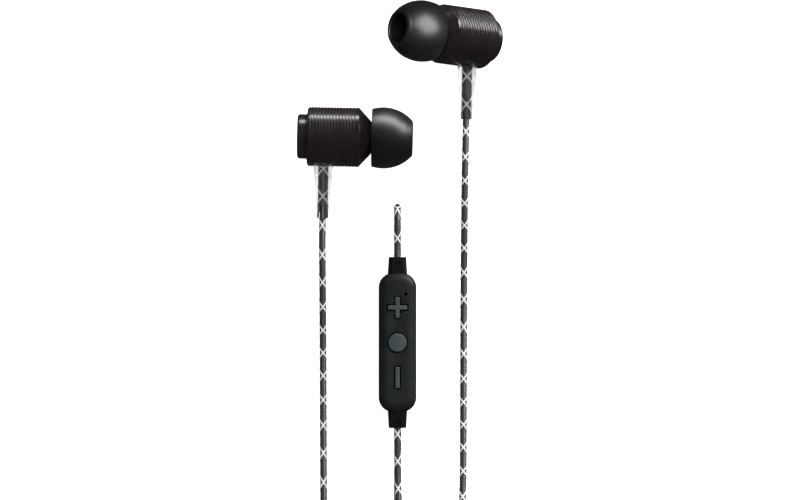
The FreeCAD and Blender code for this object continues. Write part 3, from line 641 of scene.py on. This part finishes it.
def wound(coil, start, way, turns, exit_height):
    """The coil's turns as more points of the cord. A turn moves to the next slot before it comes round to
    where it began."""
    slots = coil_slots(coil)
    step = 360 / points_a_turn
    reach = 1 / math.cos(math.radians(step / 2))
    inner = min(radius for radius, height in slots)
    lone = coil["columns"] == 1
    points = []
    for index in range(round(turns * points_a_turn)):
        turn, part = divmod(index, points_a_turn)
        radius, height = slots[turn]
        ahead = slots[turn + 1] if turn + 1 < len(slots) else (radius, exit_height)
        share = min(1.0, max(0.0, (part - shift_from) / shift_over))
        share = share * share * (3 - 2 * share)
        aside = 0.0
        if abs(ahead[1] - height) > 0.1:
            aside = side_step * math.sin(math.pi * share) * (-1 if lone or radius == inner else 1)
        radius += (ahead[0] - radius) * share + aside
        height += (ahead[1] - height) * share
        angle = math.radians(start + way * (index + 0.5) * step)
        x = coil["centre"][0] + radius * reach * math.cos(angle)
        y = coil["centre"][1] + radius * reach * math.sin(angle)
        points.append((x, y, height))
    return points


left_turns = wound(left_coil, 0, -1, 2, 4.0)
right_turns = wound(right_coil, 180, 1, 4, 4.0)
main_turns = wound(main_coil, 90, 1, 15.75, 5.44)


def centreline(name, route, between):
    """The smooth line of a cord, read from one open spline with the route's points as its controls."""
    curve = bpy.data.curves.new(name, "CURVE")
    curve.dimensions = "3D"
    curve.resolution_u = between
    spline = curve.splines.new("NURBS")
    spline.points.add(len(route) - 1)
    for point, where in zip(spline.points, route):
        point.co = (*[c * MM for c in where], 1)
    spline.order_u = 3
    spline.use_endpoint_u = True
    line = bpy.data.objects.new(name, curve)
    bpy.context.scene.collection.objects.link(line)
    mesh = evaluated_mesh(line)
    points = [v.co.copy() for v in mesh.vertices]
    kept = [points[0]]
    for p in points[1:]:
        if (p - kept[-1]).length > 0.05 * MM:
            kept.append(p)
    return kept


def swept(name, line, radius, sides):
    """A round tube along a line in metres, closed at its ends, with the millimetres along it as marks."""
    tangents = [(b - a).normalized() for a, b in zip([line[0], *line[:-1]], [*line[1:], line[-1]])]
    across = tangents[0].orthogonal().normalized()
    rings, marks, along = [[tuple(line[0] / MM)]], [0.0], 0.0
    for index, (point, tangent) in enumerate(zip(line, tangents)):
        if index:
            along += (point - line[index - 1]).length / MM
            across = tangents[index - 1].rotation_difference(tangent) @ across
        across = (across - tangent * across.dot(tangent)).normalized()
        up = tangent.cross(across)
        angles = [TURN * j / sides for j in range(sides)]
        ring = [point / MM + (across * math.cos(a) + up * math.sin(a)) * radius for a in angles]
        rings.append([tuple(p) for p in ring])
        marks.append(along)
    rings.append([tuple(line[-1] / MM)])
    marks.append(along)
    mesh = skinned(name, rings, marks, Matrix.Identity(4), False)
    return eased(mesh, 0)


def new_tree(name, sizes):
    """A Geometry Nodes tree with named sizes as its inputs."""
    tree = bpy.data.node_groups.new(name, "GeometryNodeTree")
    tree.is_modifier = True
    tree.interface.new_socket("Geometry", in_out="INPUT", socket_type="NodeSocketGeometry")
    kinds = {float: "NodeSocketFloat", int: "NodeSocketInt", bpy.types.Material: "NodeSocketMaterial"}
    for label, value in sizes.items():
        socket = tree.interface.new_socket(label, in_out="INPUT", socket_type=kinds[type(value)])
        if not isinstance(value, bpy.types.Material):
            socket.default_value = value
    tree.interface.new_socket("Geometry", in_out="OUTPUT", socket_type="NodeSocketGeometry")
    return tree, tree.nodes.new("NodeGroupInput"), tree.nodes.new("NodeGroupOutput")


def finish_tree(tree, given, result, geometry):
    """The end of a tree: one real, smooth, painted mesh."""
    real = add(tree, "GeometryNodeRealizeInstances", {"Geometry": geometry})
    smooth = add(tree, "GeometryNodeSetShadeSmooth", {"Geometry": real.outputs[0]})
    inputs = {"Geometry": smooth.outputs[0], "Material": given.outputs["Finish"]}
    painted = add(tree, "GeometryNodeSetMaterial", inputs)
    tree.links.new(painted.outputs[0], result.inputs[0])


def grown(name, tree, start, sizes):
    """What a tree makes of a mesh, as a plain mesh."""
    holder = bpy.data.objects.new(name, start)
    bpy.context.scene.collection.objects.link(holder)
    modifier = holder.modifiers.new("grow", "NODES")
    modifier.node_group = tree
    for item in tree.interface.items_tree:
        if item.item_type == "SOCKET" and item.in_out == "INPUT" and item.name in sizes:
            modifier[item.identifier] = sizes[item.name]
    return evaluated_mesh(holder)


def tracer_tree():
    """Two threads laid round a line in opposite hands, so that they cross on its front and its back."""
    sizes = {
        "Lay Radius": lay_radius * MM, "Pitch": thread_pitch * MM, "Thread Width": thread_width * MM,
        "Thread Thickness": thread_thickness * MM, "First Crossing": 0.0, "Wander": 0.5, "Wander Start": 0.0,
        "Wander Length": 49.0 * MM, "Step": thread_step * MM, "Finish": tracer,
    }
    tree, given, result = new_tree("tracer_threads", sizes)
    get = given.outputs
    line = add(tree, "GeometryNodeMeshToCurve", {"Mesh": get["Geometry"]})
    inputs = {"Curve": line.outputs[0], "Length": get["Step"]}
    even = add(tree, "GeometryNodeResampleCurve", inputs, mode="LENGTH")
    level = add(tree, "GeometryNodeSetCurveNormal", {"Curve": even.outputs[0]}, mode="MINIMUM_TWIST")
    length = add(tree, "GeometryNodeSplineParameter").outputs["Length"]
    mark = {"data_type": "FLOAT", "domain": "POINT"}
    inputs = {"Geometry": level.outputs[0], "Name": "along", "Value": length}
    marked = add(tree, "GeometryNodeStoreNamedAttribute", inputs, **mark)
    past = math_node(tree, "SUBTRACT", length, get["First Crossing"])
    round_trip = math_node(tree, "MULTIPLY", math_node(tree, "DIVIDE", past, get["Pitch"]), TURN)
    wandered = math_node(tree, "SUBTRACT", length, get["Wander Start"])
    waves = math_node(tree, "DIVIDE", wandered, get["Wander Length"])
    sway = math_node(tree, "SINE", math_node(tree, "MULTIPLY", waves, TURN))
    angle = math_node(tree, "ADD", round_trip, math_node(tree, "MULTIPLY", sway, get["Wander"]))
    section = add(tree, "GeometryNodeCurvePrimitiveCircle", {"Resolution": 8, "Radius": 0.5})
    share = add(tree, "GeometryNodeSplineParameter").outputs["Factor"]
    inputs = {"Geometry": section.outputs[0], "Name": "across", "Value": share}
    marked_section = add(tree, "GeometryNodeStoreNamedAttribute", inputs, **mark)
    inputs = {"X": get["Thread Thickness"], "Y": get["Thread Width"], "Z": 1.0}
    size = add(tree, "ShaderNodeCombineXYZ", inputs).outputs[0]
    out = add(tree, "ShaderNodeCombineXYZ", {"X": get["Lay Radius"]}).outputs[0]
    inputs = {"Geometry": marked_section.outputs[0], "Translation": out, "Scale": size}
    profile = add(tree, "GeometryNodeTransform", inputs).outputs[0]
    both = add(tree, "GeometryNodeJoinGeometry")
    for hand in (1.0, -1.0):
        turned_by = math_node(tree, "ADD", math_node(tree, "MULTIPLY", angle, hand), TURN / 4)
        tilted = add(tree, "GeometryNodeSetCurveTilt", {"Curve": marked.outputs[0], "Tilt": turned_by})
        inputs = {"Curve": tilted.outputs[0], "Profile Curve": profile, "Fill Caps": True}
        thread = add(tree, "GeometryNodeCurveToMesh", inputs)
        tree.links.new(thread.outputs[0], both.inputs[0])
    finish_tree(tree, given, result, both.outputs[0])
    return tree


tracers = tracer_tree()


def laid_cord(name, route, between, nodes, sizes):
    line = centreline(name + "_line", route, between)
    jacket = piece(name, swept(name, line, cord_radius, 20), "root", jacket_grey, nodes)
    edges = [(i, i + 1) for i in range(len(line) - 1)]
    base = bpy.data.meshes.new(name + "_lay")
    base.from_pydata(line, edges, [])
    laid = grown(name + "_tracers", tracers, base, {"Finish": tracer, **sizes})
    threads = piece(name + "_tracers", laid, "root")
    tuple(line[0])


laid_cord(
    "left_upper_cord_sleeved", left_upper_route, 24, ["left_upper_cord", "left_lead_knot"],
    {
        "Pitch": 5.188 * MM, "First Crossing": 0.59 * MM, "Wander": 1.19, "Wander Start": -11.4 * MM,
        "Wander Length": 50.9 * MM,
    },
)
laid_cord(
    "left_lower_cord_sleeved", left_lower_route + left_turns + left_lead_route, 8,
    ["left_lower_cord", "left_coil", "left_lead"],
    {"Pitch": 5.56 * MM, "First Crossing": 3.03 * MM, "Wander": 0.2},
)
laid_cord(
    "right_cord_sleeved", right_route + right_turns + right_lead_route, 10,
    ["right_cord", "right_coil", "right_lead", "right_lead_knot"],
    {
        "Pitch": 5.006 * MM, "First Crossing": 1.36 * MM, "Wander": 0.98, "Wander Start": 28.8 * MM,
        "Wander Length": 44.4 * MM,
    },
)
laid_cord(
    "main_cord_sleeved", main_lead_route + main_turns + plug_lead_route, 6,
    ["main_lead", "main_coil", "plug_lead"], {"Step": 0.32 * MM},
)


# ---- Earbuds ---------------------------------------------------------------------------------------


def rib_tree():
    """Raised rings set side by side along a barrel."""
    sizes = {
        "Rib Radius": barrel_radius * MM, "Rib Depth": rib_depth * MM, "Rib Width": rib_width * MM,
        "Rib Edge": rib_edge * MM, "Rib Pitch": rib_pitch * MM, "First Rib": first_rib * MM,
        "Rib Count": rib_count, "Sides": 160, "Finish": barrel_black,
    }
    tree, given, result = new_tree("barrel_ribs", sizes)
    get = given.outputs
    middle = math_node(tree, "SUBTRACT", get["Rib Radius"], get["Rib Depth"])
    ring = add(tree, "GeometryNodeCurvePrimitiveCircle", {"Resolution": get["Sides"], "Radius": middle})
    height = math_node(tree, "MULTIPLY", get["Rib Depth"], 2.0)
    inputs = {"Width": height, "Height": get["Rib Width"]}
    section = add(tree, "GeometryNodeCurvePrimitiveQuadrilateral", inputs, mode="RECTANGLE")
    inputs = {"Curve": section.outputs[0], "Radius": get["Rib Edge"], "Limit Radius": True, "Count": 3}
    profile = add(tree, "GeometryNodeFilletCurve", inputs, mode="POLY")
    inputs = {"Curve": ring.outputs[0], "Profile Curve": profile.outputs[0]}
    rib = add(tree, "GeometryNodeCurveToMesh", inputs)
    inputs = {"Geometry": rib.outputs[0], "Rotation": (0, math.pi / 2, 0)}
    upright = add(tree, "GeometryNodeTransform", inputs).outputs[0]
    first = add(tree, "ShaderNodeCombineXYZ", {"X": get["First Rib"]}).outputs[0]
    pitch = add(tree, "ShaderNodeCombineXYZ", {"X": get["Rib Pitch"]}).outputs[0]
    inputs = {"Count": get["Rib Count"], "Start Location": first, "Offset": pitch}
    row = add(tree, "GeometryNodeMeshLine", inputs)
    ribs = add(tree, "GeometryNodeInstanceOnPoints", {"Points": row.outputs[0], "Instance": upright})
    finish_tree(tree, given, result, ribs.outputs[0])
    return tree


def gauze_tree():
    """Wires laid both ways across the nozzle's mouth, each as long as the mouth is wide there."""
    sizes = {
        "Gauze Radius": mesh_radius * MM, "Wire Radius": gauze_wire_radius * MM, "Wires": gauze_wires,
        "Finish": gauze_steel,
    }
    tree, given, result = new_tree("nozzle_gauze", sizes)
    get = given.outputs
    pitch = math_node(tree, "DIVIDE", math_node(tree, "MULTIPLY", get["Gauze Radius"], 2.0), get["Wires"])
    begin = math_node(tree, "SUBTRACT", math_node(tree, "MULTIPLY", pitch, 0.5), get["Gauze Radius"])
    first = add(tree, "ShaderNodeCombineXYZ", {"Y": begin}).outputs[0]
    offset = add(tree, "ShaderNodeCombineXYZ", {"Y": pitch}).outputs[0]
    inputs = {"Count": get["Wires"], "Start Location": first, "Offset": offset}
    row = add(tree, "GeometryNodeMeshLine", inputs)
    wire = add(tree, "GeometryNodeCurvePrimitiveLine", {"Start": (0, 0, -1), "End": (0, 0, 1)})
    inputs = {"Resolution": 6, "Radius": get["Wire Radius"]}
    section = add(tree, "GeometryNodeCurvePrimitiveCircle", inputs)
    inputs = {"Curve": wire.outputs[0], "Profile Curve": section.outputs[0], "Fill Caps": True}
    rod = add(tree, "GeometryNodeCurveToMesh", inputs)
    position = add(tree, "GeometryNodeInputPosition").outputs[0]
    across = add(tree, "ShaderNodeSeparateXYZ", {"Vector": position}).outputs["Y"]
    reach = math_node(tree, "MULTIPLY", get["Gauze Radius"], get["Gauze Radius"])
    inside = math_node(tree, "SUBTRACT", reach, math_node(tree, "MULTIPLY", across, across))
    half = math_node(tree, "SQRT", inside)
    stretch = add(tree, "ShaderNodeCombineXYZ", {"X": 1.0, "Y": 1.0, "Z": half}).outputs[0]
    inputs = {"Points": row.outputs[0], "Instance": rod.outputs[0], "Scale": stretch}
    wires = add(tree, "GeometryNodeInstanceOnPoints", inputs)
    inputs = {"Geometry": wires.outputs[0], "Rotation": (math.pi / 2, 0, 0)}
    over = add(tree, "GeometryNodeTransform", inputs)
    raised = math_node(tree, "MULTIPLY", get["Wire Radius"], 1.6)
    lifted = add(tree, "ShaderNodeCombineXYZ", {"X": raised}).outputs[0]
    over = add(tree, "GeometryNodeTransform", {"Geometry": over.outputs[0], "Translation": lifted})
    both = add(tree, "GeometryNodeJoinGeometry")
    tree.links.new(wires.outputs[0], both.inputs[0])
    tree.links.new(over.outputs[0], both.inputs[0])
    finish_tree(tree, given, result, both.outputs[0])
    return tree


ribs = rib_tree()
gauze = gauze_tree()


def barrel_outline():
    """The barrel, thinner where its ribs are set, with a round hole in its rear wall."""
    floor = barrel_radius - rib_depth
    first = rib_margin
    last = barrel_length - rib_margin
    inside = barrel_radius - barrel_wall
    return outline(
        (0, rear_hole_radius),
        (0, barrel_radius - barrel_chamfer),
        (barrel_chamfer, barrel_radius),
        (first - 0.05, barrel_radius),
        (first, floor),
        (last, floor),
        (last + 0.05, barrel_radius),
        (barrel_length, barrel_radius),
        (barrel_length, inside),
        (rear_wall, inside),
        (rear_wall, rear_hole_radius),
    )


def cap_outline():
    """The rear cap: a round stub with a shallow turned ring in its back, and a spigot into the barrel."""
    inner = cap_radius - cap_wall
    spigot = rear_hole_radius - turned_fit
    back = -cap_length
    return outline(
        (back + 0.22, 0),
        (back + 0.22, 2.6),
        ((back + 0.15, 2.85), (back, 3.05)),
        (back, cap_radius - 0.5),
        ((back + 0.15, cap_radius - 0.15), (back + 0.5, cap_radius)),
        (-0.42, cap_radius),
        (-0.36, cap_radius - 0.08),
        (-0.30, cap_radius - 0.08),
        ((-0.2, cap_radius + 0.12), (0, cap_radius + 0.16)),
        (0, spigot),
        (cap_spigot, spigot),
        (cap_spigot, spigot - cap_wall),
        (back + 0.95, inner),
        (back + 0.95, 0),
    )


def cone_outline():
    """The front cone, with a spigot into the barrel and a lipped nozzle."""
    soft = 0.2
    spigot = barrel_radius - barrel_wall - turned_fit
    inside = spigot - 0.6
    frame_end = barrel_length - cone_spigot
    throat = cone_end + 0.9
    return outline(
        (frame_end, inside),
        (frame_end, spigot),
        (barrel_length, spigot),
        (barrel_length, barrel_radius - 0.03),
        (cone_end, cone_end_radius),
        (cone_end, nozzle_radius),
        (nozzle_end - lip_length, nozzle_radius),
        (nozzle_end - lip_length + soft, lip_radius),
        (nozzle_end - soft, lip_radius),
        (nozzle_end, lip_radius - soft),
        (nozzle_end, mesh_radius + 0.02),
        (nozzle_end - 0.15, mesh_radius + 0.02),
        (nozzle_end - 0.15, nozzle_bore),
        (throat, nozzle_bore),
        (barrel_length, inside),
    )


def tip_outline():
    """The ear tip: a thin dome that turns in at the mouth, and runs back along the nozzle as its core."""
    core = tip_bore_radius + tip_core_wall
    shoulder = tip_end - 0.45
    crown = tip_widest + (shoulder - tip_widest) * 0.55
    crown_radius = tip_nose_radius + (tip_radius - tip_nose_radius) * 0.72
    closed_at = tip_end - 2.1
    inner_wide = tip_radius - tip_wall
    half = (tip_widest - tip_start) * 0.5
    return outline(
        (tip_start, tip_rear_radius),
        ((tip_start + half, tip_radius - 0.08), (tip_widest, tip_radius)),
        ((crown, crown_radius), (shoulder, tip_nose_radius)),
        ((tip_end - 0.12, tip_nose_radius - 0.35), (tip_end, tip_nose_radius - 0.65)),
        ((tip_end - 0.1, tip_mouth_radius + 0.08), (tip_end - 0.4, tip_mouth_radius)),
        (nozzle_end + 0.4, tip_bore_radius),
        (tip_start, tip_bore_radius),
        (tip_start, core),
        (closed_at - 0.4, core),
        ((closed_at - 0.1, core + 0.1), (closed_at, core + 0.4)),
        ((closed_at - 1.2, inner_wide - 0.75), (tip_widest, inner_wide)),
        ((tip_start + half, inner_wide - 0.06), (tip_start, tip_rear_radius - tip_wall * 0.8)),
    )


def sleeve_outline(root):
    """The clear sleeve, from its root in the barrel to its thin end."""
    return outline(
        (-root, sleeve_bore),
        (-root, sleeve_root_radius - 0.1),
        (-root + 0.1, sleeve_root_radius),
        (0.3, sleeve_root_radius),
        ((sleeve_length * 0.5, 1.5), (sleeve_length - 0.25, sleeve_end_radius)),
        (sleeve_length, sleeve_end_radius - 0.06),
        (sleeve_length, sleeve_bore),
    )


def empty_mesh(name):
    """A mesh of one point, for a tree that makes its shape from its sizes."""
    mesh = bpy.data.meshes.new(name)
    mesh.from_pydata([(0, 0, 0)], [], [])
    return mesh


def make_bud(side, bud):
    """An earbud's outer pieces, where it lies."""
    place = bud_place(bud)
    in_metres = Matrix.Scale(MM, 4) @ place @ Matrix.Scale(1 / MM, 4)

    def turned_piece(name, points, stands_for, material, ease=0.06, sides=128, body="root"):
        mesh = turned(name, points, place, sides, ease)
        return piece(f"{side}_{name}", mesh, body, material, [f"{side}_{n}" for n in stands_for])

    whole = turned_piece("turned_barrel", barrel_outline(), ["barrel"], barrel_black, 0.04, 160)
    barrel = whole.data
    # The groove floors between the ribs take the darker, rougher black: a duller finish, and painted shade
    # in the grooves.
    barrel.materials.append(groove_shade_black)
    to_bud = place.inverted()
    band_start, band_end = rib_margin + 0.02, barrel_length - rib_margin - 0.02
    for face in barrel.polygons:
        along, across, up = to_bud @ (face.center / MM)
        radius = math.hypot(across, up)
        if band_start < along < band_end and barrel_radius - barrel_wall / 2 < radius:
            face.material_index = 1
    turned_piece("turned_cap", cap_outline(), ["rear_cap"], cap_black, 0.05)
    turned_piece("turned_cone", cone_outline(), ["front_cone"], barrel_black, 0.05, 160)
    turned_piece("silicone_tip", tip_outline(), ["ear_tip"], tip_black, 0.1, 144, f"{side}_tip")

    mesh = grown("ribs", ribs, empty_mesh("ribs"), {"Finish": barrel_black})
    mesh.transform(in_metres)
    piece(f"{side}_barrel_ribs", mesh, "root")

    mesh = grown("gauze", gauze, empty_mesh("gauze"), {"Finish": gauze_steel})
    mesh.transform(in_metres @ Matrix.Translation(((nozzle_end - gauze_depth) * MM, 0, 0)))
    piece(f"{side}_nozzle_gauze", mesh, "root", None, [f"{side}_nozzle_mesh"])

    to_lead = Matrix.Translation((lead_at, -barrel_radius, 0)) @ Matrix.Rotation(-math.pi / 2, 4, "Z")
    mesh = turned("sleeve", sleeve_outline(1.3), place @ leaning(bud) @ to_lead, 64, 0.05)
    piece(f"{side}_clear_sleeve", mesh, "root", sleeve_clear, [f"{side}_strain_sleeve"])


make_bud("left", left_bud)
make_bud("right", right_bud)


# ---- Control ---------------------------------------------------------------------------------------

cover_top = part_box("control_top_cover")[1][2]
key_edge = 0.03  # how far below the cover's face a key's colour stops; below it the key is painted near-black, as painted shade in the gap round the key

for name, node in (("control_face", "control_top_cover"), ("control_back", "control_bottom_cover")):
    piece(name, copied(node, 0.07), "root", cover_black, [node])
for key in ("plus", "centre", "minus"):
    mesh = copied(f"{key}_button", 0.18 if key == "centre" else 0.2, 4)
    mesh.materials.clear()
    mesh.materials.append(key_slate)
    mesh.materials.append(gap_shade_and_mic_black)
    # A key's faces below the cover's face are painted near-black: painted shade in the gap round the key.
    for face in mesh.polygons:
        face.material_index = 1 if face.center.z < cover_top - key_edge * MM else 0
    piece(f"{key}_key", mesh, f"{key}_key", None, [f"{key}_button"])
for end in ("upper", "lower"):
    piece(f"{end}_rubber_boot", copied(f"{end}_boot", 0.09), "root", boot_rubber, [f"{end}_boot"])


# ---- Splitter, plug and straps ---------------------------------------------------------------------

along_cord = Matrix.Rotation(-math.pi / 2, 4, "Z")
splitter_place = Matrix.Translation(splitter_at) @ along_cord
plug_place = Matrix.Translation(plug_at) @ along_cord


def turned_groove(at, radius, width):
    """The outline of a shallow groove with sloping sides."""
    slope, depth = 0.15, 0.14
    floor = radius - depth
    return [(at, radius), (at + slope, floor), (at + width - slope, floor), (at + width, radius)]


groove_at, groove_width = 1.5, 0.6
splitter_points = outline(
    (0, splitter_radius - splitter_wall),
    (0, splitter_radius - end_chamfer),
    (end_chamfer, splitter_radius),
    *turned_groove(groove_at, splitter_radius, groove_width),
    *turned_groove(splitter_length - groove_at - groove_width, splitter_radius, groove_width),
    (splitter_length - end_chamfer, splitter_radius),
    (splitter_length, splitter_radius - end_chamfer),
    (splitter_length, splitter_radius - splitter_wall),
)
mesh = turned("splitter", splitter_points, splitter_place, 96, 0.05)
piece("splitter_turned_shell", mesh, "root", splitter_black, ["splitter_shell"])

plug_start = sleeve_length
plug_end = plug_start + plug_length
plug_bore = plug_rear_radius - plug_wall
plug_points = outline(
    (plug_start, plug_bore),
    (plug_start, plug_rear_radius - end_chamfer),
    (plug_start + end_chamfer, plug_rear_radius),
    (plug_start + 5.2, plug_radius),
    *turned_groove(plug_start + 6.5, plug_radius, 0.55),
    *turned_groove(plug_start + 7.5, plug_radius, 0.55),
    (plug_end - end_chamfer, plug_radius),
    (plug_end, plug_radius - end_chamfer),
    (plug_end, plug_bore),
)
mesh = turned("plug", plug_points, plug_place, 96, 0.05)
piece("plug_turned_barrel", mesh, "root", splitter_black, ["plug_barrel"])
flipped = Matrix.Translation((sleeve_length, 0, 0)) @ Matrix.Rotation(math.pi, 4, "Z")
mesh = turned("plug_sleeve", sleeve_outline(0.0), plug_place @ flipped, 64, 0.05)
piece("plug_clear_sleeve", mesh, "root", sleeve_clear, ["plug_strain_sleeve"])


def strap_mesh(coil):
    """A flat band round a coil's bundle, with rounded corners and edges."""
    bundle = 0 if coil["columns"] == 1 else coil["columns"] * turn_pitch
    beyond = strap_thickness + 0.02  # from the bundle to the band's outside
    low = coil["outer"] - bundle - cord_height - beyond
    high = coil["outer"] + cord_height + beyond
    floor, roof = 0.0, beyond + coil["layers"] * turn_pitch + beyond
    half = strap_width / 2
    corner = 0.7

    def loop(grow, across):
        points = []
        radius = corner + grow
        for sx, sz, start in ((1, 1, 0), (-1, 1, 90), (-1, -1, 180), (1, -1, 270)):
            cx = (high if sx > 0 else low) - sx * corner
            cz = (roof if sz > 0 else floor) - sz * corner
            for step in range(7):
                angle = math.radians(start + step * 15)
                points.append((cx + radius * math.cos(angle), across, cz + radius * math.sin(angle)))
        return points

    edge = 0.1
    thin = -strap_thickness
    rings = [
        loop(0, -half + edge), loop(0, half - edge), loop(-edge, half), loop(thin + edge, half),
        loop(thin, half - edge), loop(thin, -half + edge), loop(thin + edge, -half), loop(-edge, -half),
    ]
    marks = [0, 2.8, 2.94, 3.2, 3.34, 6.1, 6.24, 6.5]  # how far round the band's section each loop is
    turn = Matrix.Translation((*coil["centre"], 0)) @ Matrix.Rotation(math.radians(coil["strap"]), 4, "Z")
    return eased(skinned("strap", rings, marks, turn, True), 0)


strap_shape = bmesh.new()
for coil in (left_coil, right_coil, main_coil):
    strap_shape.from_mesh(strap_mesh(coil))
straps = bpy.data.meshes.new("straps")
strap_shape.to_mesh(straps)
strap_shape.free()
straps.polygons.foreach_set("use_smooth", [True] * len(straps.polygons))
straps.set_sharp_from_angle(angle=math.radians(50))
piece("coil_bands", straps, "root", strap_rubber, ["coil_straps"])


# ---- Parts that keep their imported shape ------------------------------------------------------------

kept = {
    "driver_frame": plastic_black, "yoke": steel_bright, "magnet": magnet_grey, "pole_plate": steel_bright,
    "voice_coil": copper, "diaphragm": film,
}
finishes = {f"{side}_{name}": material for side in ("left", "right") for name, material in kept.items()}
finishes |= {f"{key}_plunger": switch_cream for key in ("plus", "centre", "minus")}
finishes |= {
    "switch_bases": switch_cream, "circuit_board": board, "microphone": gap_shade_and_mic_black,
    "splitter_core": moulding_black, "plug_core": moulding_black, "plug_insulators": moulding_black,
    "plug_ground_contact": contact_gold, "plug_ring_contact_inner": contact_gold,
    "plug_ring_contact_outer": contact_gold, "plug_tip_contact": contact_gold,
}
for name, material in finishes.items():
    for index in range(len(frame["nodes"][name].material_slots)):
        frame["nodes"][name].material_slots[index].material = material


# ---- Floor, light and world ------------------------------------------------------------------------

table = bpy.data.meshes.new("table")
table.from_pydata([(-3, -3, 0), (3, -3, 0), (3, 3, 0), (-3, 3, 0)], [], [(0, 1, 2, 3)])
floor = bpy.data.objects.new("table", table)
bpy.context.scene.collection.objects.link(floor)
floor.location.z = -0.0001
white = Finish("white_table", (0.93, 0.93, 0.93), 0.9, specular_level=0.1)
white.shader.inputs["Emission Color"].default_value = (1, 1, 1, 1)
white.shader.inputs["Emission Strength"].default_value = 0.85
table.materials.append(white.material)
floor.visible_glossy = False
floor.visible_diffuse = False


def softbox(name, where, size, power):
    """A white lamp of a size in metres, turned to the middle of the view."""
    lamp = bpy.data.lights.new(name, "AREA")
    lamp.shape = "RECTANGLE"
    lamp.size, lamp.size_y = size
    lamp.energy = power
    light = bpy.data.objects.new(name, lamp)
    bpy.context.scene.collection.objects.link(light)
    light.location = where
    light.rotation_mode = "QUATERNION"
    light.rotation_quaternion = Vector(where).to_track_quat("Z", "Y")
    return light


def sort_light(light, lit=(), unlit=(), clear=()):
    """A light that reaches only some pieces, or all but some, and that some pieces do not shade."""
    for things, state, kind in (
        (lit, "INCLUDE", "receiver_collection"),
        (unlit, "EXCLUDE", "receiver_collection"),
        (clear, "EXCLUDE", "blocker_collection"),
    ):
        if not things:
            continue
        group = bpy.data.collections.new(f"{light.name}_{kind}")
        for thing in things:
            group.objects.link(thing)
        for entry in group.collection_objects:
            entry.light_linking.link_state = state
        setattr(light.light_linking, kind, group)


left_tip = bpy.data.objects["left_silicone_tip"]
right_tip = bpy.data.objects["right_silicone_tip"]
right_bud_pieces = [thing for thing in bpy.data.objects if thing.name.startswith("right_turned")]
right_bud_pieces += [right_tip, bpy.data.objects["right_barrel_ribs"]]
jackets = [thing for thing in bpy.data.objects if thing.name.endswith("_cord_sleeved")]
low_light = softbox("low_back_softbox", (0.42, 0.90, 0.13), (1.9, 0.26), 27.0)
sort_light(low_light, unlit=[left_tip, right_tip])
tip_light = softbox("left_tip_softbox", (0.42, 0.90, 0.27), (1.9, 0.52), 25.0)
sort_light(tip_light, lit=[left_tip], clear=right_bud_pieces)
sort_light(softbox("right_tip_softbox", (0.50, 0.38, 0.74), (1.1, 0.9), 21.0), lit=[right_tip])
sort_light(softbox("side_softbox", (0.80, 0.20, 0.64), (0.5, 0.4), 12.0), lit=jackets)
sun = bpy.data.lights.new("room_light", "SUN")
sun.energy = 3.0
sun.angle = math.radians(70)
sky = bpy.data.objects.new("room_light", sun)
bpy.context.scene.collection.objects.link(sky)
sky.rotation_euler = (math.radians(-8), math.radians(12), 0)
sky.visible_glossy = False

world = bpy.data.worlds.new("studio")
world.use_nodes = True
bpy.context.scene.world = world
studio = world.node_tree
studio.nodes["Background"].inputs["Color"].default_value = (1, 1, 1, 1)
studio.nodes["Background"].inputs["Strength"].default_value = 0.06

bpy.context.scene.view_settings.view_transform = "Standard"
bpy.context.scene.view_settings.look = "None"
